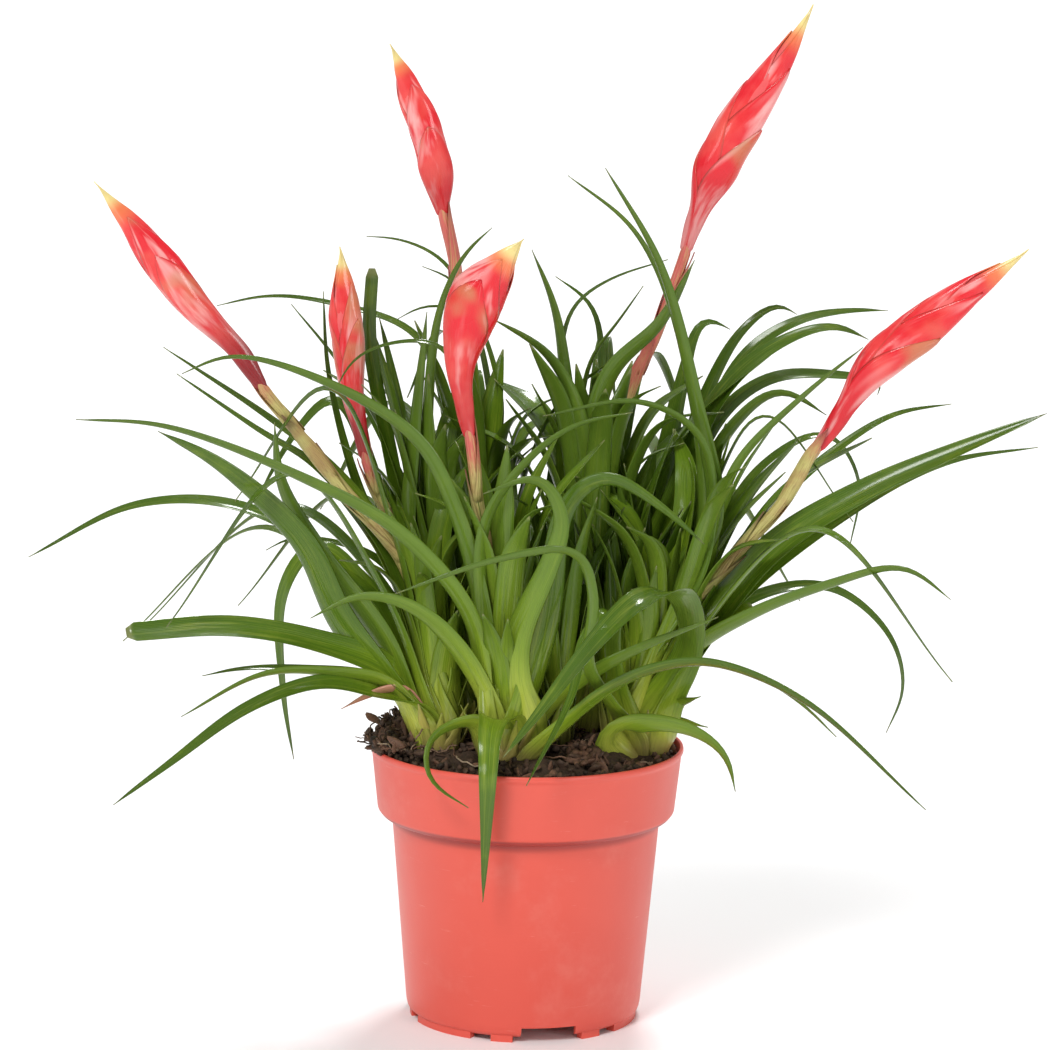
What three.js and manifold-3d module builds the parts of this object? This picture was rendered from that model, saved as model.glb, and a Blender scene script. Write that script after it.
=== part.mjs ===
// A clump of six flowering bromeliad rosettes in a terracotta-coloured plastic nursery pot.
// Millimetres, +Z up. The origin is the middle of the pot's foot, on the surface that it stands on.
import * as THREE from "three";
import { mergeVertices } from "three/addons/utils/BufferGeometryUtils.js";
import Module from "manifold-3d";

const wasm = await Module();
wasm.setup();

// Pot
const POT_HEIGHT = 106;
const RIM_RADIUS = 60;
const BAND_HEIGHT = 25;
const BAND_FOOT_RADIUS = 56.7;
const WALL_TOP_RADIUS = 51.2;
const WALL_FOOT_RADIUS = 45;
const WALL = 1.5;
const PAD_HEIGHT = 2;
const FLOOR_UNDER = 6.5;
const FLOOR_TOP = 8.5;
const POT_SIDES = 30;
const NOTCH_COUNT = 3;
const NOTCH_WIDTH = 21;
const FIRST_NOTCH = -77;
const PAD_SPANS = [
  [18, 29],
  [40, 80],
  [91, 102],
];
const PAD_INNER_RADIUS = 40;
const PAD_OUTER_RADIUS = 43.5;
const DRAIN_COUNT = 6;
const DRAIN_RADIUS = 4;
const DRAIN_CIRCLE = 27;

// Soil
const GAP = 0.3;
const SOIL_EDGE = 103.5;
const SOIL_MOUND = 5.5;
const SOIL_RINGS = 5;
const SOIL_SIDES = 24;
const SOIL_LUMP = 1.6;
const SOIL_HEAPS = [
  { x: -44, y: -4, radius: 15, rise: 9 },
  { x: 23, y: -24, radius: 8, rise: 4 },
];
const HOLE_DEPTH = 15;

// Rosettes
const CROWN_LEVEL = 110;
const STUB_RADIUS = 6.5;
const BULB_RADIUS = 11;
const BULB_HEIGHT = 62;
const BULB_SIDES = 8;
const LEAF_THICK = 1.4;
const LEAF_STEP = 40;
const ROOT_RISE = 38;
const SHEATH_LENGTH = 55;
const ROOT_NARROWING = 0.3;
const SHEATH_WRAP = 60;
const BLADE_WRAP = 26;

// Flower stalks and heads
const STALK_RADIUS = 2.5;
const STALK_SIDES = 8;
const STALK_ROOM = 1;
const STALK_STEPS = 8;
const STALK_BRACTS = 3;
const STALK_BRACT_LENGTH = 26;
const FIRST_STALK_BRACT = 0.3;
const STALK_BRACT_SPAN = 0.5;
const STALK_BRACT_TIP_OFF = 2.2;
const STALK_BRACT_THICK = 1.3;
const HEAD_BRACTS = 6;
const LAST_HEAD_BRACT = 0.54;
const HEAD_BRACT_TIP_OFF = 1;
const HEAD_BRACT_THICK = 1.4;
const HEAD_BRACT_EDGE = 0.9;
const HEAD_CORE = 0.62;
const HEAD_POINT = 0.7;
const HEAD_RINGS = 6;
const HEAD_SIDES = 6;
const HEAD_FLATNESS = 0.62;
const HEAD_SEAT = 0.8;

// The eye from which leaf and flower places are laid out: each is given by where it is seen in the
// upright plane through the pot's axis, across and up, and by how far away from that plane it lies.
const EYE = new THREE.Vector3(-2, -1700, 486);

const UP = new THREE.Vector3(0, 0, 1);
const AWAY = new THREE.Vector3(0, 1, 0);

const material = (color, roughness) =>
  new THREE.MeshStandardMaterial({ color, roughness, metalness: 0 });
const potPlastic = material(0xdb6a5d, 0.55);
const peat = material(0x3a2a20, 0.95);
const leafGreen = material(0x4c7a2c, 0.4);
const stalkGreen = material(0xc3b968, 0.5);
const bractRed = material(0xe23b36, 0.35);

// A leaf is its width, how far away its tip lies, and the points that its midrib passes.
const leaf = (width, away, ...path) => ({ width, away, path, blunt: false });
const cutLeaf = (width, away, ...path) => ({ width, away, path, blunt: true });

const ROSETTES = {
  left: {
    crown: [-34, -14],
    fan: { from: 150, to: 215, count: 3, far: 120, seed: 11 },
    leaves: [
      leaf(11, -105, [-42, 119], [-57, 124], [-78, 128], [-106, 118], [-137, 95], [-158, 79]),
      leaf(5, -40, [-51, 128], [-71, 118]),
      leaf(7, -75, [-52, 127], [-75, 132], [-101, 131], [-132, 114]),
      leaf(8, -30, [-52, 126], [-87, 133], [-110, 133], [-124, 130]),
      cutLeaf(15, -55, [-51, 131], [-79, 143], [-114, 149], [-153, 146]),
      leaf(12, 15, [-60, 160], [-80, 181], [-93, 164], [-93, 125], [-89, 98]),
      leaf(11, 20, [-57, 160], [-105, 194], [-148, 196], [-190, 175]),
      leaf(16, -45, [-72, 152], [-86, 182], [-117, 211], [-141, 224]),
      leaf(13, -25, [-56, 145], [-80, 178], [-95, 206], [-97, 228]),
      leaf(9, 0, [-53, 176], [-83, 213], [-100, 223], [-134, 246]),
      leaf(8, 20, [-49, 176], [-74, 210], [-98, 229], [-139, 256]),
    ],
    stalk: [[-33, 126, -14], [-49, 176, -13], [-74, 206, -12], [-87, 223, -12], [-100, 239, -12]],
    head: [[-100, 239, -12], [-111, 255, -13], [-130, 275, -15], [-152, 303, -17], [-165, 318, -18]],
    headShape: { width: 14, neck: 7.3, neckEnd: 0.25, broadest: 0.56, fullness: 1.3 },
  },
  middle: {
    crown: [-24, 8],
    fan: { from: 150, to: 185, count: 1, far: 125, seed: 5 },
    leaves: [
      leaf(9, 25, [-49, 168], [-65, 202], [-77, 247], [-79, 278]),
      cutLeaf(11, 14, [-45, 176], [-55, 222], [-62, 260], [-61, 287]),
      leaf(12, 26, [-38, 176], [-48, 222], [-54, 252], [-58, 269]),
      leaf(12, -2, [-41, 153], [-47, 184], [-45, 222], [-40, 271]),
      leaf(11, 12, [-38, 168], [-39, 230], [-35, 272], [-26, 293], [-16, 303]),
    ],
    stalk: [[-26, 142, 8], [-50, 187, 6], [-58, 202, 5], [-62, 213, 3]],
    head: [[-62, 213, 3], [-67, 236, 3], [-70, 263, 2], [-72, 285, 2], [-73, 295, 2]],
    headShape: { width: 12, neck: 5.2, neckEnd: 0.12, broadest: 0.6, fullness: 1.6 },
  },
  front: {
    crown: [-8, -28],
    leaves: [
      leaf(7, 0, [-10, 114, -40], [-13, 112, -56], [-14, 97, -65], [-15, 67, -64], [-16, 43, -62]),
      leaf(6, 0, [-18, 113, -42], [-31, 111, -50], [-38, 104, -58], [-37, 91, -61], [-22, 80, -66]),
      leaf(12, -146, [18, 116], [31, 127], [47, 135], [69, 138], [105, 124], [153, 82]),
      leaf(9, -48, [12, 123], [36, 140], [72, 156]),
      leaf(12, -70, [-18, 126], [-41, 156], [-64, 162], [-83, 153]),
      leaf(14, -85, [-22, 153], [-49, 186], [-87, 207], [-139, 226], [-172, 228]),
      leaf(17, -75, [-6, 142], [7, 175], [12, 192], [3, 208], [-18, 202]),
      leaf(17, -60, [8, 158], [14, 198], [28, 209], [49, 198], [66, 184]),
      leaf(14, -45, [-19, 161], [-29, 196], [-43, 222], [-79, 244], [-114, 253], [-132, 246]),
      leaf(14, -45, [-17, 153], [-17, 190], [-3, 213], [15, 228], [38, 234]),
      leaf(7, -15, [-23, 207], [-33, 257], [-53, 259], [-68, 252], [-74, 241]),
    ],
    stalk: [[-9, 130, -28], [-18, 188, -28], [-20, 200, -28], [-23, 222, -28]],
    head: [
      [-23, 222, -28], [-27, 245, -29], [-26, 260, -30],
      [-22, 275, -32], [-13, 288, -34], [-4, 299, -36],
    ],
    headShape: { width: 21, neck: 8.8, neckEnd: 0.42, broadest: 0.65, fullness: 1.3 },
  },
  back: {
    crown: [-16, 32],
    fan: { from: 78, to: 165, count: 6, far: 107, seed: 8 },
    leaves: [
      leaf(7, 35, [-57, 176], [-76, 183], [-91, 184], [-100, 179]),
      leaf(12, 45, [-49, 176], [-74, 238], [-87, 227], [-103, 200]),
      leaf(6, 60, [-49, 207], [-71, 248], [-91, 273]),
      leaf(8, 50, [-31, 219], [-43, 261], [-78, 274], [-100, 276], [-119, 272]),
      leaf(7, 30, [-20, 230], [-28, 271], [-42, 273], [-51, 268]),
      leaf(7, 40, [-12, 238], [-29, 282], [-42, 288]),
      leaf(7, 50, [-16, 238], [-32, 288], [-50, 298], [-63, 299]),
    ],
    stalk: [[-18, 146, 32], [-25, 238, 32], [-30, 289, 32], [-34, 306, 32]],
    head: [[-34, 306, 32], [-39, 332, 32], [-45, 348, 32], [-55, 371, 32]],
    headShape: { width: 13.6, neck: 5.2, neckEnd: 0.03, broadest: 0.44, fullness: 1.9 },
  },
  rear: {
    crown: [21, 22],
    fan: { from: 40, to: 95, count: 5, far: 120, seed: 6 },
    leaves: [
      leaf(12, 70, [53, 201], [65, 239], [78, 265], [92, 276], [99, 272]),
      leaf(11, 50, [56, 201], [80, 256], [100, 270], [121, 274], [133, 274]),
      leaf(15, 20, [53, 197], [71, 241], [91, 260], [113, 268], [126, 263]),
      leaf(12, 35, [56, 201], [73, 235], [91, 248], [119, 249], [133, 247], [130, 242]),
      leaf(12, 0, [60, 197], [75, 228], [93, 243], [111, 234]),
      leaf(16, 60, [49, 208], [57, 247], [64, 270], [74, 266]),
      leaf(11, 45, [26, 200], [26, 250], [22, 274], [8, 285]),
      leaf(12, 20, [19, 185], [13, 238], [8, 272], [-1, 295]),
      leaf(6, 30, [11, 223], [14, 272], [28, 284], [50, 292]),
      leaf(7, 20, [17, 215], [22, 254], [31, 267], [41, 282]),
      leaf(12, -5, [23, 177], [17, 234], [5, 256], [-16, 269]),
      leaf(16, 0, [22, 208], [29, 248], [48, 268], [60, 292]),
      leaf(8, -25, [27, 146], [18, 178], [7, 192], [-8, 202]),
      leaf(14, 0, [27, 162], [28, 200], [30, 239]),
    ],
    stalk: [[22, 138, 22], [26, 193, 20], [35, 238, 18], [46, 263, 16], [56, 293, 15]],
    head: [[56, 293, 15], [60, 307, 14], [66, 323, 13], [75, 342, 12], [89, 364, 11], [102, 388, 10]],
    headShape: { width: 17.5, neck: 7, neckEnd: 0.14, broadest: 0.38, fullness: 1.7 },
  },
  right: {
    crown: [44, -6],
    fan: { from: -25, to: 10, count: 2, far: 110, seed: 9 },
    leaves: [
      leaf(12, 0, [32, 110, -30], [47, 114, -38], [64, 111, -36], [76, 102, -36], [80, 88, -37]),
      leaf(9, -30, [49, 117], [66, 125]),
      leaf(5, -20, [51, 115], [69, 113]),
      leaf(5, -60, [62, 137], [83, 135], [104, 123], [118, 110]),
      leaf(
        16, 0,
        [60, 143, -26], [57, 164, -46], [42, 162, -66], [23, 142, -80], [5, 118, -88], [-9, 100, -94],
      ),
      leaf(10, -80, [31, 146], [32, 159], [21, 146], [18, 127], [0, 89]),
      leaf(9, 0, [22, 138, -62], [24, 162, -75], [17, 180, -86], [-11, 177, -94], [-51, 163, -99]),
      cutLeaf(14, -5, [61, 143], [85, 160]),
      leaf(10, -40, [62, 141], [85, 157], [114, 169], [142, 176], [160, 164]),
      leaf(8, 25, [61, 143], [86, 164], [114, 168], [137, 150], [143, 129], [137, 112]),
      leaf(18, -10, [65, 147], [91, 182], [124, 204], [164, 223], [194, 236]),
      leaf(10, 5, [76, 159], [125, 200], [158, 217], [191, 223]),
      leaf(10, 30, [65, 158], [94, 201], [119, 224], [137, 235], [158, 239]),
      leaf(7, 40, [65, 174], [86, 213], [111, 227], [124, 209], [121, 183]),
      leaf(10, -20, [65, 162], [77, 213], [101, 240], [124, 260]),
      leaf(9, -30, [66, 178], [64, 224], [41, 238], [4, 232]),
      leaf(9, -5, [64, 193], [53, 269], [37, 303], [12, 323]),
      leaf(14, -20, [69, 193], [61, 239], [47, 290], [26, 326]),
    ],
    stalk: [[43, 127, -6], [63, 162, -8], [78, 180, -10], [94, 199, -12], [106, 219, -14]],
    head: [
      [106, 219, -14], [112, 227, -14], [119, 239, -15],
      [129, 253, -16], [151, 272, -18], [185, 298, -20],
    ],
    headShape: { width: 16.5, neck: 7, neckEnd: 0.18, broadest: 0.46, fullness: 1.6 },
  },
};

// Solids

function solid(geometry) {
  const bare = geometry.index ? geometry.toNonIndexed() : geometry.clone();
  bare.deleteAttribute("normal");
  bare.deleteAttribute("uv");
  const merged = mergeVertices(bare, 1e-4);
  const make = (triVerts) =>
    new wasm.Manifold(
      new wasm.Mesh({
        numProp: 3,
        vertProperties: merged.attributes.position.array,
        triVerts,
      }),
    );
  const triVerts = new Uint32Array(merged.index.array);
  const made = make(triVerts);
  return made.volume() > 0 ? made : make(triVerts.reverse());
}

function geometryOf(made) {
  const mesh = made.getMesh();
  const geometry = new THREE.BufferGeometry();
  geometry.setAttribute("position", new THREE.BufferAttribute(mesh.vertProperties, 3));
  geometry.setIndex(new THREE.BufferAttribute(mesh.triVerts, 1));
  geometry.computeVertexNormals();
  return geometry;
}

function joined(solids) {
  return solids.reduce((sum, next) => sum.add(next));
}

// The largest body of a solid: loose scraps that a cut leaves are dropped.
function largest(made) {
  const bodies = made.decompose();
  return bodies.reduce((best, next) => (next.volume() > best.volume() ? next : best));
}

function piece(name, made, look) {
  const mesh = new THREE.Mesh(geometryOf(made), look);
  mesh.name = name;
  return mesh;
}

// A closed skin over a row of rings with the same number of points, with flat ends.
// Each side quad is split from its even point, so both faces of a blade are split alike.
function skin(rings) {
  const count = rings[0].length;
  const positions = rings.flat().flatMap((p) => [p.x, p.y, p.z]);
  const faces = [];
  for (let i = 0; i + 1 < rings.length; i++) {
    for (let j = 0; j < count; j++) {
      const next = (j + 1) % count;
      const [a, b] = [i * count + j, i * count + next];
      const [c, d] = [a + count, b + count];
      if (j % 2 === 0) faces.push(a, b, d, a, d, c);
      else faces.push(a, b, c, b, d, c);
    }
  }
  const last = (rings.length - 1) * count;
  for (let j = 1; j + 1 < count; j++) {
    faces.push(0, j + 1, j);
    faces.push(last, last + j, last + j + 1);
  }
  const geometry = new THREE.BufferGeometry();
  geometry.setAttribute("position", new THREE.Float32BufferAttribute(positions, 3));
  geometry.setIndex(faces);
  return geometry;
}

// A seeded draw of numbers from 0 to 1.
function draw(seed) {
  let state = seed * 7919;
  return () => {
    state = (state * 1664525 + 1013904223) % 4294967296;
    return state / 4294967296;
  };
}

function seen(across, up, away) {
  const onPlane = new THREE.Vector3(across, 0, up);
  return EYE.clone().lerp(onPlane, 1 - away / EYE.y);
}

// Pot

function potBody() {
  const bandFoot = POT_HEIGHT - BAND_HEIGHT;
  const profile = [
    [0, FLOOR_UNDER],
    [WALL_FOOT_RADIUS - WALL - 1.4, FLOOR_UNDER],
    [WALL_FOOT_RADIUS - WALL - 2, PAD_HEIGHT],
    [WALL_FOOT_RADIUS - 2.4, PAD_HEIGHT],
    [WALL_FOOT_RADIUS - 0.6, PAD_HEIGHT + 1.4],
    [WALL_FOOT_RADIUS, PAD_HEIGHT + 4],
    [WALL_TOP_RADIUS, bandFoot - 3],
    [BAND_FOOT_RADIUS - 1.6, bandFoot - 2],
    [BAND_FOOT_RADIUS, bandFoot],
    [RIM_RADIUS - 0.9, POT_HEIGHT - 3],
    [RIM_RADIUS, POT_HEIGHT - 1.6],
    [RIM_RADIUS - 0.4, POT_HEIGHT],
    [RIM_RADIUS - WALL, POT_HEIGHT],
    [RIM_RADIUS - WALL - 0.6, POT_HEIGHT - 2.5],
    [BAND_FOOT_RADIUS - WALL, bandFoot + 0.6],
    [WALL_TOP_RADIUS - WALL, bandFoot - 1.4],
    [WALL_FOOT_RADIUS - WALL, FLOOR_TOP],
    [0, FLOOR_TOP],
  ].map(([r, z]) => new THREE.Vector2(r, z));
  const geometry = new THREE.LatheGeometry(profile, POT_SIDES);
  geometry.rotateX(Math.PI / 2);
  return solid(geometry);
}

function ringSector(fromDegrees, toDegrees) {
  const from = THREE.MathUtils.degToRad(fromDegrees);
  const to = THREE.MathUtils.degToRad(toDegrees);
  const outline = new THREE.Shape();
  outline.absarc(0, 0, PAD_OUTER_RADIUS, from, to, false);
  outline.absarc(0, 0, PAD_INNER_RADIUS, to, from, true);
  const geometry = new THREE.ExtrudeGeometry(outline, {
    depth: FLOOR_UNDER,
    bevelEnabled: false,
    curveSegments: 3,
  });
  return solid(geometry);
}

function notch(degrees) {
  const height = FLOOR_UNDER - 0.5;
  const box = new THREE.BoxGeometry(16, NOTCH_WIDTH, height + 2);
  box.translate(WALL_FOOT_RADIUS, 0, height / 2 - 1);
  box.rotateZ(THREE.MathUtils.degToRad(degrees));
  return solid(box);
}

function drainHole(degrees) {
  const hole = new THREE.CylinderGeometry(DRAIN_RADIUS, DRAIN_RADIUS, 8, 8);
  hole.rotateX(Math.PI / 2);
  hole.translate(DRAIN_CIRCLE, 0, (FLOOR_UNDER + FLOOR_TOP) / 2);
  hole.rotateZ(THREE.MathUtils.degToRad(degrees));
  return solid(hole);
}

function pot() {
  let made = potBody();
  for (let i = 0; i < NOTCH_COUNT; i++) {
    const middle = FIRST_NOTCH + (360 / NOTCH_COUNT) * i;
    made = made.subtract(notch(middle));
    for (const [from, to] of PAD_SPANS) made = made.add(ringSector(middle + from, middle + to));
  }
  for (let i = 0; i < DRAIN_COUNT; i++) made = made.subtract(drainHole((360 / DRAIN_COUNT) * i));
  return made;
}

// Soil

function soilHeight(x, y, lump) {
  const reach = Math.hypot(x, y) / RIM_RADIUS;
  let z = SOIL_EDGE + SOIL_MOUND * (1 - reach * reach) + lump;
  for (const heap of SOIL_HEAPS) {
    const off = Math.hypot(x - heap.x, y - heap.y) / heap.radius;
    z += heap.rise * Math.exp(-off * off);
  }
  return z;
}

// The soil fills the pot: its top is a mound of lumps, and its underside follows the pot's inside.
function soilBody() {
  const random = draw(21);
  const topRadius = RIM_RADIUS - WALL - 1.6 - GAP;
  const ring = (radius, height) =>
    Array.from({ length: SOIL_SIDES }, (_, j) => {
      const angle = (j / SOIL_SIDES) * 2 * Math.PI;
      const [x, y] = [radius * Math.cos(angle), radius * Math.sin(angle)];
      return new THREE.Vector3(x, y, height(x, y));
    });
  const flat = (z) => () => z;
  const bandFoot = POT_HEIGHT - BAND_HEIGHT;
  const rings = [
    ring(0.5, flat(FLOOR_TOP + GAP)),
    ring(WALL_FOOT_RADIUS - WALL - 0.6, flat(FLOOR_TOP + GAP)),
    ring(WALL_TOP_RADIUS - WALL - 0.6, flat(bandFoot - 1.2)),
    ring(BAND_FOOT_RADIUS - WALL - 0.7, flat(bandFoot + 1.2)),
  ];
  for (let i = SOIL_RINGS; i > 0; i--) {
    const lumpy = i === SOIL_RINGS ? 0.4 : SOIL_LUMP;
    rings.push(
      ring((topRadius * i) / SOIL_RINGS, (x, y) => soilHeight(x, y, lumpy * (random() - 0.5))),
    );
  }
  rings.push(ring(0.5, (x, y) => soilHeight(x, y, 0)));
  return solid(skin(rings));
}

function stub(crown, radius, from, to) {
  const post = new THREE.CylinderGeometry(radius, radius, to - from, BULB_SIDES);
  post.rotateX(Math.PI / 2);
  post.translate(crown[0], crown[1], (from + to) / 2);
  return solid(post);
}

function soil() {
  let made = soilBody();
  for (const { crown } of Object.values(ROSETTES)) {
    const from = CROWN_LEVEL - HOLE_DEPTH - GAP;
    made = made.subtract(stub(crown, STUB_RADIUS + GAP * 1.2, from, POT_HEIGHT + 30));
  }
  return largest(made);
}

// Leaves

// The midrib of a leaf: it springs from inside the bulb, the steeper leaves higher up, and passes
// the leaf's points.
function midrib(rosette, path, rank) {
  const [x, y] = rosette.crown;
  const foot = new THREE.Vector3(x, y, CROWN_LEVEL + 4 + ROOT_RISE * rank);
  const out = path[0].clone().sub(foot).setZ(0).normalize();
  const start = foot.clone().addScaledVector(out, BULB_RADIUS * 0.3);
  const points = [start];
  const first = path[0];
  if (first.z > start.z + 30) {
    const shoulder = start.clone().lerp(first, 0.4);
    shoulder.x = start.x + (first.x - start.x) * 0.3;
    shoulder.y = start.y + (first.y - start.y) * 0.3;
    points.push(shoulder);
  }
  points.push(...path);
  return new THREE.CatmullRomCurve3(points, false, "centripetal");
}

// A listed leaf's points in space: its depth runs evenly from the crown to its tip.
function placed(rosette, { away, path }) {
  const lengths = [0];
  const flat = [[rosette.crown[0], CROWN_LEVEL], ...path];
  for (let i = 1; i < flat.length; i++) {
    const step = Math.hypot(flat[i][0] - flat[i - 1][0], flat[i][1] - flat[i - 1][1]);
    lengths.push(lengths[i - 1] + step);
  }
  const whole = lengths[lengths.length - 1];
  return path.map(([across, up, own], i) => {
    const share = lengths[i + 1] / whole;
    const depth = own ?? rosette.crown[1] + (away - rosette.crown[1]) * share;
    return seen(across, up, depth);
  });
}

function smooth(value) {
  const t = THREE.MathUtils.clamp(value, 0, 1);
  return t * t * (3 - 2 * t);
}

// One blade: a deep-channelled root in the bulb, then a flatter strap that tapers to its tip.
function blade(curve, width, blunt) {
  const length = curve.getLength();
  const steps = THREE.MathUtils.clamp(Math.round(length / LEAF_STEP), 4, 6);
  const spine = curve.getSpacedPoints(steps);
  const sheathLength = Math.min(SHEATH_LENGTH, length * 0.6);
  const first = spine[0];
  const tip = spine[spine.length - 1];
  const out = tip.clone().sub(first).setZ(0).normalize();
  const across = new THREE.Vector3().crossVectors(out, UP);
  const rings = spine.map((centre, i) => {
    const s = i / steps;
    const before = spine[Math.max(i - 1, 0)];
    const after = spine[Math.min(i + 1, steps)];
    const along = after.clone().sub(before).normalize();
    const side = across.clone().addScaledVector(along, -across.dot(along)).normalize();
    const face = new THREE.Vector3().crossVectors(side, along);
    const sheath = 1 - smooth((s * length) / sheathLength);
    const taper = blunt ? 1 - 0.35 * s * s : 1 - 0.93 * Math.pow(s, 2.2);
    const half = (width / 2) * taper * (1 - ROOT_NARROWING * sheath);
    const wrap = BLADE_WRAP + (SHEATH_WRAP - BLADE_WRAP) * sheath;
    const raise = half * Math.tan(THREE.MathUtils.degToRad(wrap / 2));
    const thick = (LEAF_THICK / 2) * (1 - 0.5 * s);
    const edge = (sign) => centre.clone().addScaledVector(side, sign * half).addScaledVector(face, raise);
    const rib = (sign) => centre.clone().addScaledVector(face, sign * thick);
    return [edge(-1), rib(1), edge(1), rib(-1)];
  });
  return solid(skin(rings));
}

// The leaves that fill a rosette where the listed ones leave it open: fanned over a sector.
function fanLeaves(rosette) {
  const { from, to, count, far, seed } = rosette.fan;
  const random = draw(seed);
  const [x, y] = rosette.crown;
  return Array.from({ length: count }, (_, i) => {
    const angle = THREE.MathUtils.degToRad(from + ((to - from) * (i + 0.5)) / count);
    const out = new THREE.Vector3(Math.cos(angle), Math.sin(angle), 0);
    const upright = (i * 0.618) % 1;
    const reach = far * (1 - 0.6 * upright) + 10 * random();
    const rise = 70 + 90 * upright + 20 * random();
    const at = (outward, upward) =>
      new THREE.Vector3(x, y, CROWN_LEVEL).addScaledVector(out, outward).addScaledVector(UP, upward);
    const droop = 0.15 + 0.5 * (1 - upright);
    const path = [
      at(reach * 0.22, rise * 0.55),
      at(reach * 0.55, rise * 0.98),
      at(reach, rise * (1 - droop)),
    ];
    return { path, width: 11 + 4 * random(), blunt: false };
  });
}

function bulb([x, y]) {
  const foot = CROWN_LEVEL;
  const profile = [
    [0, foot - HOLE_DEPTH],
    [STUB_RADIUS, foot - HOLE_DEPTH],
    [STUB_RADIUS, foot + 3],
    [BULB_RADIUS, foot + 10],
    [BULB_RADIUS, foot + 24],
    [BULB_RADIUS * 0.6, foot + 46],
    [BULB_RADIUS * 0.4, foot + BULB_HEIGHT],
    [0, foot + BULB_HEIGHT],
  ].map(([r, z]) => new THREE.Vector2(r, z));
  const geometry = new THREE.LatheGeometry(profile, BULB_SIDES);
  geometry.rotateX(Math.PI / 2);
  geometry.translate(x, y, 0);
  return solid(geometry);
}

function rosetteBlades(rosette) {
  const [x, y] = rosette.crown;
  const slope = ({ path: [first] }) => (first.z - CROWN_LEVEL) / Math.hypot(first.x - x, first.y - y);
  const listed = rosette.leaves.map((one) => ({ ...one, path: placed(rosette, one) }));
  const fanned = rosette.fan ? fanLeaves(rosette) : [];
  const all = [...fanned, ...listed].sort((a, b) => slope(a) - slope(b));
  return all.map(({ path, width, blunt }, i) =>
    blade(midrib(rosette, path, i / (all.length - 1)), width, blunt),
  );
}

// Flower stalks

function curveThrough(points) {
  return new THREE.CatmullRomCurve3(points.map((p) => seen(...p)), false, "centripetal");
}

function tube(curve, radius, steps) {
  const outline = new THREE.Shape();
  outline.absarc(0, 0, radius, 0, 2 * Math.PI, false);
  const geometry = new THREE.ExtrudeGeometry(outline, {
    steps,
    extrudePath: curve,
    bevelEnabled: false,
    curveSegments: STALK_SIDES / 2,
  });
  return solid(geometry);
}

// Directions across a stalk or head at a point of its curve: side lies in the plane that is seen.
function frameAt(curve, t) {
  const centre = curve.getPointAt(t);
  const along = curve.getTangentAt(t);
  const side = new THREE.Vector3().crossVectors(along, AWAY).normalize();
  const face = new THREE.Vector3().crossVectors(side, along);
  return { centre, along, side, face };
}

// A sheathing bract: a short pointed scale that hugs the stalk on one side, its tip standing off.
function stalkBract(curve, at, sign, grow) {
  const steps = 4;
  const reach = (STALK_BRACT_LENGTH + 3 * grow) / curve.getLength();
  const rings = Array.from({ length: steps }, (_, i) => {
    const s = i / (steps - 1);
    const { centre, side, face } = frameAt(curve, Math.min(at + reach * s, 1));
    const keel = STALK_RADIUS + 0.5 + STALK_BRACT_TIP_OFF * s * s;
    const half = (STALK_RADIUS + 0.6) * (1 - 0.85 * s * s) + grow;
    const inward = STALK_RADIUS * 0.9 * (1 - s);
    const point = (out, turn) =>
      centre.clone().addScaledVector(side, sign * out).addScaledVector(face, turn);
    const edge = keel - inward - grow;
    const inside = keel - STALK_BRACT_THICK - 3 * grow;
    return [point(edge, -half), point(keel + grow, 0), point(edge, half), point(inside, 0)];
  });
  return solid(skin(rings));
}

// A stalk with its bracts, or the room that it needs among the leaves when grown by a gap.
function stalk(rosette, grow = 0) {
  const curve = curveThrough(rosette.stalk);
  const lower = (1.5 * grow) / curve.getLength();
  const scales = Array.from({ length: STALK_BRACTS }, (_, i) => {
    const at = FIRST_STALK_BRACT + (STALK_BRACT_SPAN * i) / STALK_BRACTS - lower;
    return stalkBract(curve, at, i % 2 ? 1 : -1, grow);
  });
  return joined([tube(curve, STALK_RADIUS + grow, STALK_STEPS), ...scales]);
}

// Flower heads

// Half the head's width at a share of its length: a slim neck, a broad middle, a fine point.
function headHalf({ width, neck, neckEnd, broadest, fullness }, s) {
  if (s < broadest) {
    const foot = THREE.MathUtils.lerp(2 * STALK_RADIUS, neck, smooth(10 * s));
    return THREE.MathUtils.lerp(foot, width, smooth((s - neckEnd) / (broadest - neckEnd))) / 2;
  }
  return (width / 2) * (1 - Math.pow((s - broadest) / (1 - broadest), fullness)) + 0.25;
}

function headCore(curve, shape) {
  const rings = Array.from({ length: HEAD_RINGS }, (_, i) => {
    const s = i / (HEAD_RINGS - 1);
    const { centre, side, face } = frameAt(curve, s);
    const wide = Math.max(headHalf(shape, s) * HEAD_CORE, HEAD_POINT);
    const deep = Math.max(wide * HEAD_FLATNESS, HEAD_POINT);
    return Array.from({ length: HEAD_SIDES }, (_, j) => {
      const angle = (j / HEAD_SIDES) * 2 * Math.PI;
      return centre
        .clone()
        .addScaledVector(side, wide * Math.cos(angle))
        .addScaledVector(face, deep * Math.sin(angle));
    });
  });
  return solid(skin(rings));
}

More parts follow.
